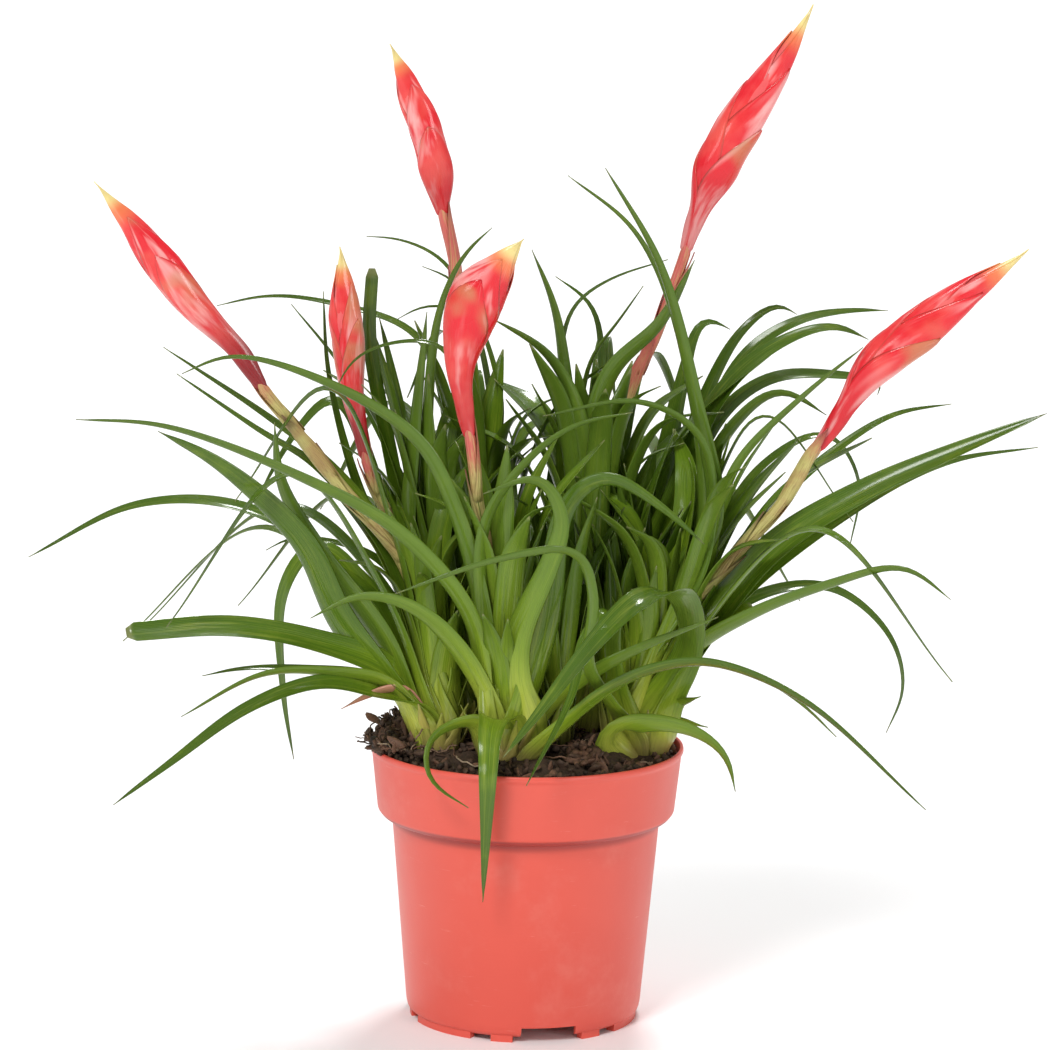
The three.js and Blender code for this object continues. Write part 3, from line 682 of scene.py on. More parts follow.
def bract_look():
    """Glossy red bracts with painted pinkish highlight streaks, an olive tinge here and there and
    cream-yellow tips.
    """
    look = Look("bract", Specular_IOR_Level=0.15, Coat_Weight=0.6, Coat_Roughness=0.14)
    rise, tip, across, tone, dark = look.values("rise", "tip", "across", "tone", "dark")
    along = look.vector(look.times(across, 0.014), look.times(tip, 0.016), tone)
    cloud = look.noise(45.0, 3.0)
    tinge = look.times(look.span(look.noise(38.0, 2.0), 0.52, 0.66), look.span(tip, 0.5, 0.9))
    high = look.plus(rise, look.times(cloud, 0.05))
    colour = look.layers(
        RED,
        (CORAL, look.span(cloud, 0.42, 0.68, 0.0, 0.75)),
        # Painted highlights: pale pink streaks drawn out along the bracts stand in for gloss
        # reflections.
        (PAINTED_HIGHLIGHT_PINK, look.span(look.noise(140.0, 3.0, 0.5, along), 0.53, 0.74, 0.0, 0.7)),
        (PAINTED_HIGHLIGHT_PINK, look.span(look.noise(95.0, 1.0, 0.4, along), 0.55, 0.74, 0.0, 0.65)),
        (CRIMSON, look.times(dark, look.span(rise, 0.42, 0.1, 0.0, 0.9))),
        (OLIVE, look.times(tinge, 0.65)),
        (SEAM, look.span(look.math("ABSOLUTE", across), 0.92, 1.0, 0.0, 0.6)),
        (ORANGE, look.span(high, 0.82, 0.9, 0.0, 0.75)),
        (CREAM, look.span(high, 0.89, 0.95)),
    )
    normal = look.bump(look.lines(across, 60.0), 0.02)
    normal = look.bump(look.noise(70.0, 2.0, 0.5, along), 0.5, normal)
    return look.finish(colour, look.span(cloud, 0.3, 0.7, 0.26, 0.4), normal)


STALK_PALE = (0.52, 0.46, 0.15)
STALK_OCHRE = (0.38, 0.19, 0.075)
STALK_BROWN = (0.20, 0.075, 0.04)
ROSE = (0.60, 0.105, 0.095)


def stalk_look():
    """Pale yellow-green below, ochre above, red under the head, with brown bract tips."""
    look = Look("stalk", Specular_IOR_Level=0.5)
    rise, tip, across, blush = look.values("rise", "tip", "across", "blush")
    cloud = look.noise(90.0, 3.0)
    streak = look.vector(look.times(across, 4.0), look.times(rise, 6.0), blush)
    streak = look.noise(2.2, 3.0, 0.6, streak)
    margin = look.times(look.span(look.math("ABSOLUTE", across), 0.8, 1.0), look.span(tip, 0.02, 0.4))
    colour = look.layers(
        STALK_PALE,
        (STALK_OCHRE, look.span(cloud, 0.42, 0.68, 0.0, 0.65)),
        (STALK_BROWN, look.span(streak, 0.52, 0.72, 0.0, 0.55)),
        (FRESH, look.span(rise, 0.45, 0.1, 0.0, 0.45)),
        (STALK_BROWN, look.span(tip, 0.72, 1.0, 0.0, 0.8)),
        (ROSE, look.times(blush, look.span(streak, 0.36, 0.56, 0.45, 0.95))),
        (STALK_BROWN, look.times(margin, 0.5)),
    )
    rough = look.span(cloud, 0.3, 0.7, 0.34, 0.5)
    return look.finish(colour, rough, look.bump(look.lines(across, 40.0), 0.06))


POT_RED = (0.70, 0.092, 0.061)
POT_DARK = (0.60, 0.068, 0.046)
POT_CHALK = (0.80, 0.33, 0.27)
POT_PAINTED_SHADOW = (0.32, 0.035, 0.030)


def pot_look():
    """Satin coral plastic: moulding lines round it, a chalky bloom in places, a few scuffs and a painted
    shadow on the wall under the rim band.
    """
    look = Look("pot", Specular_IOR_Level=0.5)
    bloom = look.noise(14.0, 4.0)
    height = look.node("ShaderNodeSeparateXYZ", {0: look.place()}, output=2)
    # Painted shadow: a dark strip on the wall just under the rim band, where the band's overhang shades
    # it.
    under_band_shadow = look.times(look.span(height, 0.0745, 0.0775), look.span(height, 0.081, 0.080))
    scratch = look.noise(60.0, 4.0, 0.7, look.place((1.0, 1.0, 14.0)))
    colour = look.layers(
        POT_RED,
        (POT_DARK, look.span(bloom, 0.35, 0.7, 0.0, 0.35)),
        (POT_CHALK, look.span(look.noise(30.0, 5.0, 0.65), 0.5, 0.8, 0.0, 0.22)),
        (POT_PAINTED_SHADOW, look.times(under_band_shadow, 0.85)),
        (POT_CHALK, look.span(scratch, 0.66, 0.74, 0.0, 0.35)),
    )
    rings = look.noise(1.0, 2.0, 0.5, look.place((0.5, 0.5, 900.0)))
    normal = look.bump(look.noise(900.0, 2.0), 0.02, look.bump(rings, 0.035))
    return look.finish(colour, look.span(bloom, 0.3, 0.7, 0.36, 0.48), normal)


PEAT = (0.030, 0.020, 0.013)
BARK = (0.100, 0.056, 0.034)
RUST = (0.19, 0.095, 0.055)
ROOT = (0.44, 0.33, 0.22)


def soil_look():
    """Moist peat: near-black crumb with brown and rusty bits. `tone` is how light a bit is."""
    look = Look("soil", Specular_IOR_Level=0.35)
    (tone,) = look.values("tone")
    grit = look.noise(700.0, 5.0, 0.7)
    colour = look.ramp(tone, (0.0, PEAT), (0.45, BARK), (0.75, RUST), (1.0, ROOT))
    colour = look.layers(colour, (PEAT, look.span(grit, 0.4, 0.7, 0.0, 0.6)))
    rough = look.span(look.noise(300.0, 2.0), 0.35, 0.65, 0.55, 0.95)
    return look.finish(colour, rough, look.bump(grit, 0.5))


# Pot


def turned(profile, sides):
    """Rings of a turned body, from a profile that runs from the axis round and back to it."""
    angle = np.linspace(0, 2 * math.pi, sides, endpoint=False)
    return np.array([[(r * math.cos(a), r * math.sin(a), z) for a in angle] for r, z in profile])


def rounded(profile, radius):
    """The profile with all corners but its ends rounded off."""
    made = [profile[0]]
    for before, corner, after in zip(profile, profile[1:], profile[2:]):
        before, corner, after = (np.array(p, float) for p in (before, corner, after))
        reach = min(radius, *(np.linalg.norm(p - corner) * 0.45 for p in (before, after)))
        start = corner + unit(before - corner) * reach
        end = corner + unit(after - corner) * reach
        for t in np.linspace(0, 1, CORNER_POINTS):
            made.append(tuple(lerp(lerp(start, corner, t), lerp(corner, end, t), t)))
    return [*made, profile[-1]]


def block(size, place, degrees):
    """Corner points and faces of a block, turned about the pot's axis."""
    x, y, z = (np.array(size) / 2).tolist()
    points = np.array([(a, b, c) for a in (-x, x) for b in (-y, y) for c in (-z, z)]) + place
    faces = [(0, 1, 3, 2), (4, 6, 7, 5), (0, 4, 5, 1), (2, 3, 7, 6), (0, 2, 6, 4), (1, 5, 7, 3)]
    return points @ turn_about_z(degrees).T, faces


def turn_about_z(degrees):
    c, s = math.cos(math.radians(degrees)), math.sin(math.radians(degrees))
    return np.array([(c, -s, 0), (s, c, 0), (0, 0, 1)])


def cut(body, tool):
    """Takes the tool away from the body's mesh."""
    modifier = body.modifiers.new("cut", "BOOLEAN")
    modifier.operation = "DIFFERENCE"
    modifier.object = tool
    modifier.solver = "EXACT"
    ready = body.evaluated_get(bpy.context.evaluated_depsgraph_get())
    mesh = bpy.data.meshes.new_from_object(ready)
    body.modifiers.clear()
    return mesh


def bare_object(skin, name):
    mesh = skin.mesh(name)
    turn_outward(mesh)
    return link(name, mesh)


def around(count, first=0):
    """Angles in degrees at even steps round the pot."""
    return [first + 360 / count * i for i in range(count)]


def make_pot(material):
    profile = [
        (0.5, FLOOR_UNDER),
        (WALL_FOOT_RADIUS - WALL - 1.4, FLOOR_UNDER),
        (WALL_FOOT_RADIUS - WALL - 2, PAD_HEIGHT),
        (WALL_FOOT_RADIUS - 2.4, PAD_HEIGHT),
        (WALL_FOOT_RADIUS - 0.6, PAD_HEIGHT + 1.4),
        (WALL_FOOT_RADIUS, PAD_HEIGHT + 4),
        (WALL_TOP_RADIUS, BAND_FOOT - 3),
        (BAND_FOOT_RADIUS - 1.6, BAND_FOOT - 2),
        (BAND_FOOT_RADIUS, BAND_FOOT),
        (RIM_RADIUS - 0.9, POT_HEIGHT - 3),
        (RIM_RADIUS, POT_HEIGHT - 1.6),
        (RIM_RADIUS - 0.4, POT_HEIGHT),
        (RIM_RADIUS - WALL, POT_HEIGHT),
        (RIM_RADIUS - WALL - 0.6, POT_HEIGHT - 2.5),
        (BAND_FOOT_RADIUS - WALL, BAND_FOOT + 0.6),
        (WALL_TOP_RADIUS - WALL, BAND_FOOT - 1.4),
        (WALL_FOOT_RADIUS - WALL, FLOOR_TOP),
        (0.5, FLOOR_TOP),
    ]
    body = Skin()
    body.add(turned(rounded(profile, 0.7), POT_SIDES))
    body = bare_object(body, "pot_body")
    tools = Skin()
    height = FLOOR_UNDER - 0.5
    size, place = (16, NOTCH_WIDTH, height + 2), (WALL_FOOT_RADIUS, 0, height / 2 - 1)
    for degrees in around(NOTCH_COUNT, FIRST_NOTCH):
        tools.add_solid(*block(size, place, degrees))
    hole = turned([(DRAIN_RADIUS, FLOOR_UNDER - 3), (DRAIN_RADIUS, FLOOR_TOP + 3)], DRAIN_SIDES)
    for degrees in around(DRAIN_COUNT):
        tools.add((hole + (DRAIN_CIRCLE, 0, 0)) @ turn_about_z(degrees).T)
    tools = bare_object(tools, "pot_tools")
    mesh = cut(body, tools)
    for spare in (body, tools):
        bpy.data.objects.remove(spare)
    shape = bmesh.new()
    shape.from_mesh(mesh)
    pads = Skin()
    inner, outer = PAD_RADII
    corners = [(inner, 0), (outer, 0), (outer, FLOOR_UNDER + 0.4), (inner, FLOOR_UNDER + 0.4)]
    for notch in around(NOTCH_COUNT, FIRST_NOTCH):
        for start, end in PAD_SPANS:
            steps = max(4, int((end - start) / 3))
            angles = np.radians(np.linspace(notch + start, notch + end, steps))
            rings = [[(r * math.cos(a), r * math.sin(a), z) for r, z in corners] for a in angles]
            pads.add(np.array(rings))
    feet = bare_object(pads, "pot_pads")
    shape.from_mesh(feet.data)
    bpy.data.objects.remove(feet)
    shape.to_mesh(mesh)
    shape.free()
    finish_piece(mesh, "pot_fine", material, ["pot"], sharp=SHARP_ANGLE)


# Soil


def lumps(x, y, seed):
    """A rough, repeatable height in millimetres at a place on the soil."""
    height = 0.0
    for octave, (pitch, size) in enumerate([(17, 1.6), (7.5, 1.2), (3.4, 0.7), (1.7, 0.4)]):
        a, b = x / pitch + seed + octave * 3.1, y / pitch - seed * 0.7 + octave * 1.7
        wave = np.sin(a * 2.1 + 1.3 * np.sin(b * 1.7))
        height = height + size * wave * np.cos(b * 2.3 + 1.1 * np.sin(a * 1.3))
    return height


def soil_level(x, y):
    z = SOIL_EDGE + SOIL_MOUND * (1 - (x * x + y * y) / RIM_RADIUS**2)
    for cx, cy, radius, rise in SOIL_HEAPS:
        z = z + rise * np.exp(-((x - cx) ** 2 + (y - cy) ** 2) / radius**2)
    return z


def make_soil(material):
    soil = Skin("tone")
    rnd = np.random.default_rng(21)
    top_radius = RIM_RADIUS - WALL - 1.0
    wall = [
        (0.5, FLOOR_TOP + GAP),
        (WALL_FOOT_RADIUS - WALL - 0.6, FLOOR_TOP + GAP),
        (WALL_TOP_RADIUS - WALL - 0.6, BAND_FOOT - 1.2),
        (BAND_FOOT_RADIUS - WALL - 0.7, BAND_FOOT + 1.2),
    ]
    rings = list(turned(wall, SOIL_SIDES))
    for i in range(SOIL_RINGS, 0, -1):
        ring = turned([(top_radius * i / SOIL_RINGS, 0)], SOIL_SIDES)[0]
        x, y = ring[:, 0], ring[:, 1]
        rough = min(1.0, (SOIL_RINGS - i) / 3 + 0.3)
        ring[:, 2] = soil_level(x, y) - 1.0 + lumps(x, y, 4.0) * rough
        rings.append(ring)
    rings = np.array(rings)
    soil.add(rings, tone=0.12 + 0.2 * rnd.random(rings.shape[:2]))
    ball = bmesh.new()
    bmesh.ops.create_icosphere(ball, subdivisions=2, radius=1.0)
    ball_points = np.array([v.co for v in ball.verts])
    ball_faces = [[v.index for v in f.verts] for f in ball.faces]
    ball.free()

    def spot(spread=1.0):
        """A place on the soil, more often on the heap at the left."""
        if rnd.random() < HEAP_SHARE:
            angle, r = rnd.random() * 2 * math.pi, HEAP_REACH * rnd.random() ** 0.5
            x, y = HEAP_FOOT[0] + r * math.cos(angle), HEAP_FOOT[1] + 1.3 * r * math.sin(angle)
        else:
            angle, r = rnd.random() * 2 * math.pi, top_radius * rnd.random() ** 0.5
            x, y = r * math.cos(angle), r * math.sin(angle)
        far = math.hypot(x, y)
        if far > (top_radius - 1) * spread:
            x, y = (c * (top_radius - 1) * spread / far for c in (x, y))
        return x, y

    def any_turn():
        q = unit(rnd.normal(size=4))
        w, x, y, z = q
        return np.array(
            [
                (1 - 2 * (y * y + z * z), 2 * (x * y - z * w), 2 * (x * z + y * w)),
                (2 * (x * y + z * w), 1 - 2 * (x * x + z * z), 2 * (y * z - x * w)),
                (2 * (x * z - y * w), 2 * (y * z + x * w), 1 - 2 * (x * x + y * y)),
            ]
        )

    def heap_spot():
        """A place in the loose heap at the left, which spills on to the rim."""
        x, y = (c + s * rnd.normal() for c, s in zip(HEAP, HEAP_SPREAD))
        shrink = min(1.0, (RIM_RADIUS + 0.5) / math.hypot(x, y))
        x, y = x * shrink, y * shrink
        return x, y, max(float(soil_level(x, y)), POT_HEIGHT + 0.8) + 2.4 * abs(rnd.normal())

    def lump(size, roughness, tone, at=None):
        """A rough bit of soil, at a drawn place unless one is given. Both ways take the same draws."""
        x, y = spot(0.985)
        z = float(soil_level(np.array(x), np.array(y))) + rnd.uniform(-0.8, 0.9)
        if at:
            x, y, z = at
        shape = ball_points * (1 + roughness * rnd.normal(size=(len(ball_points), 1)))
        shape = (shape * size) @ any_turn().T
        soil.add_solid(shape + (x, y, z), ball_faces, tone=tone)

    def sizes(*ranges):
        return np.array([rnd.uniform(*ends) for ends in ranges])

    for _ in range(CRUMBS):
        size = rnd.uniform(0.5, 1.7) * np.array([1, *sizes((0.6, 1), (0.5, 0.9))])
        lump(size, 0.16, rnd.uniform(0.0, 0.45))
    for _ in range(CHIPS):
        lump(sizes((1.6, 4.6), (0.8, 1.9), (0.4, 0.9)), 0.10, rnd.uniform(0.25, 0.8))
    for _ in range(FIBRES):
        x, y = spot(0.93)
        heading, bend = rnd.uniform(0, 2 * math.pi), rnd.uniform(-0.12, 0.12)
        path = [np.array([x, y])]
        for _ in range(9):
            heading += bend + rnd.normal() * 0.25
            path.append(path[-1] + rnd.uniform(0.8, 2.0) * level(heading)[:2])
        path = np.array(path)
        far = np.hypot(path[:, 0], path[:, 1])
        path *= np.minimum(1, (top_radius - 1.5) / far)[:, None]
        wander = np.abs(np.cumsum(rnd.normal(size=len(path)) * 0.5))
        lift = soil_level(path[:, 0], path[:, 1]) + 0.6 + wander
        fibre = curve_through(np.column_stack([path, lift]), 3)
        soil.add(tube(fibre, rnd.uniform(0.16, 0.34), 5), tone=rnd.uniform(0.55, 1.0))
    for _ in range(HEAP_CRUMBS):
        size = rnd.uniform(0.6, 1.9) * np.array([1, rnd.uniform(0.6, 1), 0.7])
        lump(size, 0.2, rnd.uniform(0, 0.55), heap_spot())
    for _ in range(HEAP_CHIPS):
        lump(sizes((1.6, 4.2), (0.8, 1.6), (0.4, 0.8)), 0.1, rnd.uniform(0.25, 0.85), heap_spot())
    for _ in range(CLUMP_CHIPS):
        x, y = (c + CLUMP_SPREAD * rnd.normal() for c in CLUMP)
        size, tone = sizes((1.8, 4.0), (1.0, 2.0), (0.6, 1.2)), rnd.uniform(0.4, 0.75)
        lump(size, 0.12, tone, (x, y, float(soil_level(x, y)) + 1.2 * abs(rnd.normal())))
    for _ in range(HEAP_FIBRES):
        path = [np.array(heap_spot())]
        heading = unit(rnd.normal(size=3) + (-0.3, -0.2, 0.3))
        for _ in range(6):
            heading = unit(heading + 0.35 * rnd.normal(size=3))
            path.append(path[-1] + heading * rnd.uniform(0.7, 1.5))
        path = np.array(path)
        path[:, 2] = np.maximum(path[:, 2], POT_HEIGHT + 0.3)
        soil.add(tube(curve_through(path, 3), rnd.uniform(0.16, 0.36), 5), tone=rnd.uniform(0.4, 1.0))
    soil.piece("soil_fine", material, "soil", "soil")


# Leaves


def axis_of(rosette):
    """Where the heart of a rosette is at a height: it follows the flower stalk."""
    line = np.array([(*rosette["crown"], ROOT_LEVEL), *(seen(*p) for p in rosette["stalk"])])
    return lambda z: np.array([np.interp(z, line[:, 2], line[:, k]) for k in (0, 1)])


def crown_of(rosette):
    return np.array([*rosette["crown"], CROWN_LEVEL])


def arched(foot, out, rise, shares):
    """A leaf's points, each at its shares of the way out and of the rise."""
    return [foot + out * outward + (0, 0, rise * upward) for outward, upward in shares]


def placed(rosette, one):
    """A listed leaf's points in space: its depth runs evenly from the crown to its tip."""
    flat = [(rosette["crown"][0], CROWN_LEVEL), *one["path"]]
    steps = [math.dist(a[:2], b[:2]) for a, b in zip(flat, flat[1:])]
    whole, walked, points = sum(steps), 0.0, []
    for step, (across, up, *own) in zip(steps, one["path"]):
        walked += step
        depth = own[0] if own else lerp(rosette["crown"][1], one["away"], walked / whole)
        points.append(seen(across, up, depth))
    return points


def fan_leaves(rosette):
    """The leaves that fill a rosette where the listed ones leave it open."""
    start, end, count, far, seed = rosette.get("fan", (0, 0, 0, 0, 0))
    random = draw(seed)
    made = []
    for i in range(count):
        out = level(math.radians(lerp(start, end, (i + 0.5) / count)))
        upright = (i * GOLDEN_SHARE) % 1
        reach = far * (1 - 0.6 * upright) + 10 * random()
        rise = 70 + 90 * upright + 20 * random()
        shares = [(0.22, 0.55), (0.55, 0.98), (1.0, 1 - (0.15 + 0.5 * (1 - upright)))]
        path = arched(crown_of(rosette), out * reach, rise, shares)
        made.append({"path": path, "width": 9 + 3 * random(), "point": 120})
    return made


def fill_leaves(rosette, rnd):
    """Upright leaves that fill the heart of a rosette, turned by the golden angle."""
    made = []
    foot = crown_of(rosette)
    count, least, most, tall = rosette["fill"]
    for i in range(count):
        out = level(math.radians(GOLDEN_ANGLE * i + rnd.uniform(-15, 15)), 0.75)
        reach = lerp(most, least, (i + rnd.random()) / count)
        rise = tall * rnd.uniform(0.72, 1.0)
        droop = rnd.uniform(-0.1, 0.1)
        lean = axis_of(rosette)(CROWN_LEVEL + rise * 0.6) - rosette["crown"]
        lean = np.array([*lean, 0.0]) * 0.8
        shares = [(0.2, 0.5, 0.55), (0.5, 0.85, 0.9), (1.0, 1 - droop, 1.0)]
        path = [foot + out * reach * far + lean * shift + (0, 0, rise * up) for far, up, shift in shares]
        made.append({"path": path, "width": rnd.uniform(9, 13.5), "tone": rnd.uniform(0, 0.5)})
    for i in range(LOW_FILL):
        angle = math.radians(GOLDEN_ANGLE * i + rnd.uniform(-20, 20))
        reach, rise = rnd.uniform(10, 34), rnd.uniform(38, 92)
        path = arched(foot, level(angle) * reach, rise, [(0.35, 0.5), (0.7, 0.85), (1.0, 1.0)])
        # Painted shade: low fill leaves that point away from the eye, into the heart, get tones above
        # 0.95, which darken them as if shaded.
        width, tone = rnd.uniform(8, 12), rnd.uniform(0.5, 0.8) + 0.6 * max(0, math.sin(angle))
        made.append({"path": path, "width": width, "tone": tone})
    return made


def offset_leaves(rosette, rnd):
    """Young shoots between the rosettes: each is a tuft of short upright leaves of its own."""
    made = []
    for x, y, tall in rosette.get("offsets", ()):
        for i in range(OFFSET_LEAVES):
            out = level(math.radians(GOLDEN_ANGLE * i + rnd.uniform(-20, 20)))
            reach, rise = rnd.uniform(6, 26), tall * rnd.uniform(0.45, 1.0)
            shares = [(0.1, 0.0), (0.25, 0.4), (0.6, 0.8), (1.0, 1.0)]
            path = arched(np.array([x, y, ROOT_LEVEL]), out * reach, rise, shares)
            # Painted shade: tones above 0.95 darken these shoots as shade between the rosettes.
            tone = rnd.uniform(0.8, 1.35)
            made.append({"path": path, "width": rnd.uniform(8, 11), "tone": tone})
    return made


def base_scales(rosette, rnd):
    """Short pointed scales low round a rosette's front."""
    made = []
    foot = crown_of(rosette)
    for degrees in (-165, -125, -88, -50, -12):
        out = level(math.radians(degrees + rnd.uniform(-12, 12)))
        rise = rnd.uniform(12, 20)
        path = [foot + out * 12.5 + (0, 0, rise * 0.4), foot + out * (13 + rise * 0.25) + (0, 0, rise)]
        made.append({"path": path, "width": rnd.uniform(7, 9), "dry": rnd.uniform(0, 0.3)})
    return made


def midrib(rosette, path, rank):
    """A leaf's midrib: up along the wrapped sheaths, the steeper leaves further in, then its points."""
    axis = axis_of(rosette)
    away_from_heart = path[min(1, len(path) - 1)][:2] - axis(path[0][2])
    out = unit(away_from_heart)
    wrap = lerp(OUTER_SHEATH, INNER_SHEATH, rank)
    climb = path[0][2] - ROOT_LEVEL
    first = path[0][:2] - axis(path[0][2])
    points = [np.array([*(axis(ROOT_LEVEL) + out * wrap * 0.55), ROOT_LEVEL])]
    shares = [share for share, least in ((0.14, 90), (0.3, 40), (0.5, 60), (0.72, 90)) if climb > least]
    for share in shares:
        z = ROOT_LEVEL + climb * share
        off = lerp(out * wrap, first, share**2.2)
        points.append(np.array([*(axis(z) + off), z]))
    return curve_through([*points, *path]), wrap


def roll_to_show(spine, side, share):
    """The roll along a strap that shows the eye this share of its width, with the least twist."""
    along, sides, faces = frames_along(spine, side)
    stations = np.linspace(0.3, 1.0, 6)
    turn = math.acos(share)
    rolls, roll = [], 0.0
    for station in stations:
        i = round(station * (len(spine) - 1))
        broad = unit(np.cross(along[i], EYE - spine[i]))
        level = math.atan2(np.dot(faces[i], broad), np.dot(sides[i], broad))
        choices = [level + turn, level - turn, level + turn + math.pi, level - turn + math.pi]
        steps = [(choice - roll + math.pi) % (2 * math.pi) - math.pi for choice in choices]
        roll += min(steps, key=abs)
        rolls.append(roll)
    return np.interp(np.linspace(0, 1, len(spine)), stations, rolls)


def add_blade(leaves, curve, one, rank, wrap_radius, rnd):
    """A leaf's skin: a sheath wrapped round the heart that opens into the blade. Its rank runs from 0
    for the lowest leaf to 1 for the innermost."""
    listed = one.get("listed_width")
    width = min(max(6.5, listed * 0.72 + 1.5), 13) if listed else one["width"]
    length = length_of(curve)
    count = max(14, round(length / RING_STEP))
    aged = 0.25 * (1 - rank)
    spine = eased(evenly(curve, count))
    walked = np.linspace(0, length, count)
    s = walked / length
    out = unit(np.array([*(spine[-1] - spine[0])[:2], 0.0]))
    side = np.cross(out, (0, 0, 1))
    sheath_length = min(SHEATH_LENGTH, length * 0.5)
    sheath = 1 - smooth((walked / sheath_length - 0.25) / 0.75)
    left = (1 - s) * length
    if one.get("blunt"):
        taper = (1 - 0.35 * s**2) * np.maximum(np.minimum(1, left / 1.5), 0.5)
    elif listed:
        fall = 3.2 if one.get("full") else 1.8
        taper = (1 - 0.92 * s**fall) * np.clip(left / 8, 0.04, 1) ** 0.7
    else:
        taper = (1 - 0.35 * s**3) * np.clip(left / one.get("point", 22), 0.02, 1) ** 0.65
    flare = 1 + 0.4 * (1 - smooth(walked / 90)) if listed else 1
    blade_half = width / 2 * taper * flare
    sheath_half = np.clip(width * 1.05 + 0.5, 8.5, 15) * lerp(0.7, 1, smooth(walked / 14))
    half = lerp(blade_half, sheath_half, sheath)
    blade_wrap = BLADE_WRAP * (1 - 0.3 * s)
    wrap = lerp(blade_wrap, min(sheath_half.max() / wrap_radius, 2.5), sheath**1.4)
    thick = lerp(0.75, 1.5, sheath) * (1 - 0.4 * s)
    roll = 0.0
    if listed:
        roll = roll_to_show(spine, side, min(SHOWN * listed / width, 0.97))
    sway = math.radians(7) * np.sin(s * rnd.uniform(3, 7) + rnd.uniform(0, 6))
    roll = (1 - sheath) * (roll * smooth(s * 2.5) + sway)
    rings, across, under = strap(spine, side, half, wrap, thick, roll)
    leaves.add(
        rings,
        reach=walked[:, None] / 100 + aged * smooth(walked[:, None] / 45),
        tip=s[:, None],
        across=across[None],
        tone=one.get("tone", rnd.random()),
        under=under[None],
        dry=one.get("dry", 0.0),
    )


def add_sprout(leaves):
    """A seedling in the soil, of four small leaves."""
    x, y = SPROUT
    foot = np.array([x, y, float(soil_level(x, y))])
    s = np.linspace(0, 1, SPROUT_ROWS)
    half = 1.5 * np.sin(np.pi * (0.08 + 0.9 * s)) ** 0.8
    wrap, thick = np.full(SPROUT_ROWS, 0.5), np.full(SPROUT_ROWS, 0.4)
    for k in range(4):
        out = level(2.1 * k)
        path = [foot - (0, 0, 1), foot + out + (0, 0, 3), foot + out * (2 + 0.5 * k) + (0, 0, 6 + k)]
        spine = evenly(curve_through(path), SPROUT_ROWS)
        rings, across, under = strap(spine, np.cross(out, (0, 0, 1)), half, wrap, thick)
        leaves.add(rings, reach=0.35, tip=0.5, across=across[None], tone=0.1, under=under[None], dry=0.0)


def make_leaves(name, rosette, material, seed):
    leaves = Skin("reach", "tip", "across", "tone", "under", "dry")
    rnd = np.random.default_rng(seed)

    def steepness(one):
        first = one["path"][0]
        return (first[2] - CROWN_LEVEL) / np.linalg.norm(first[:2] - np.array(rosette["crown"]))

    listed = [{**one, "path": placed(rosette, one)} for one in rosette["leaves"]]
    scales, fan = base_scales(rosette, rnd), fan_leaves(rosette)
    ordered = sorted([*scales, *fan, *listed, *fill_leaves(rosette, rnd)], key=steepness)
    for i, one in enumerate(ordered):
        rank = i / (len(ordered) - 1)
        curve, wrap_radius = midrib(rosette, one["path"], rank)
        add_blade(leaves, curve, one, rank, wrap_radius, rnd)
    for one in offset_leaves(rosette, rnd):
        add_blade(leaves, curve_through(one["path"]), one, 0.5, INNER_SHEATH, rnd)
    if name == "left":
        add_sprout(leaves)
    leaves.piece(f"leaves_{name}_fine", material, "leaf", f"leaves_{name}")


# Flower stalks and heads

STALK_RADIUS = 2.2
STALK_SIDES = 14
STALK_SUNK = 6
STALK_SAMPLES = 400
BRACT_ROWS = 14
HEAD_FOOT = 4.8
HEAD_FLATNESS = 0.62
HEAD_BRACTS = 6
HEAD_ROOT = 30
HEAD_ROWS = 60
HEAD_SIDES = 20
LAST_HEAD_BRACT = 0.54
HEAD_BRACT_ROWS = 30
HEAD_BRACT_COLUMNS = 17


def make_stalk(name, rosette, material, seed):
    """A stalk that runs on into the foot of its head, with bracts that clasp it in turn."""
    skin = Skin("rise", "tip", "across", "blush")
    rnd = np.random.default_rng(seed)
    curve = curve_through([seen(*p) for p in rosette["stalk"]])
    length = length_of(curve)
    neck = evenly(curve_through([seen(*p) for p in rosette["head"]]), 40)[1:9]
    clasped = evenly(np.vstack([curve, neck]), STALK_SAMPLES)
    passed = np.linspace(0, 1 + length_of(neck) / length, STALK_SAMPLES)

    def reddened(rise):
        """How red the stalk is at a share of its length."""
        return smooth((rise - 0.94 + rosette["blush"]) / 0.12)

    top, count = 1 + STALK_SUNK / length, round(length / 3)
    rise = np.linspace(0, top, count)
    radius = STALK_RADIUS * (1.05 - 0.1 * rise) * np.clip((top - rise) * length / 5, 0.3, 1)
    rings = tube(evenly(clasped[passed < top], count), radius, STALK_SIDES)
    u = np.linspace(-1, 1, STALK_SIDES, endpoint=False)
    skin.add(rings, rise=rise[:, None], tip=0.0, across=u[None], blush=reddened(rise)[:, None])
    s = np.linspace(0, 1, BRACT_ROWS)
    stand_off = STALK_RADIUS * lerp(0.8, 1.08, smooth(s * 4)) + 0.9 * s**3
    half = STALK_RADIUS * 2.4 * (1 - s**1.4) ** 0.9 + 0.12
    wrap = np.maximum(half / (STALK_RADIUS * lerp(1.08, 1.7, s)), 0.15)
    for i, start in enumerate(np.arange(0.08, 0.9, 20 / length)):
        end = min(start + rnd.uniform(30, 38) / length, passed[-1])
        pick = evenly(clasped[(passed >= start) & (passed <= end)], BRACT_ROWS)
        side = level(-math.radians(i * GOLDEN_ANGLE + rnd.uniform(-20, 20)))
        _, _, faces = frames_along(pick, side)
        pick = pick - faces * stand_off[:, None]
        rings, u, _ = strap(pick, side, half, wrap, np.full(BRACT_ROWS, 0.5))
        height = lerp(start, end, s)[:, None]
        skin.add(rings, rise=height, tip=s[:, None], across=u[None], blush=reddened(height))
    skin.piece(f"stalk_{name}_fine", material, "stalk", f"stalk_{name}")


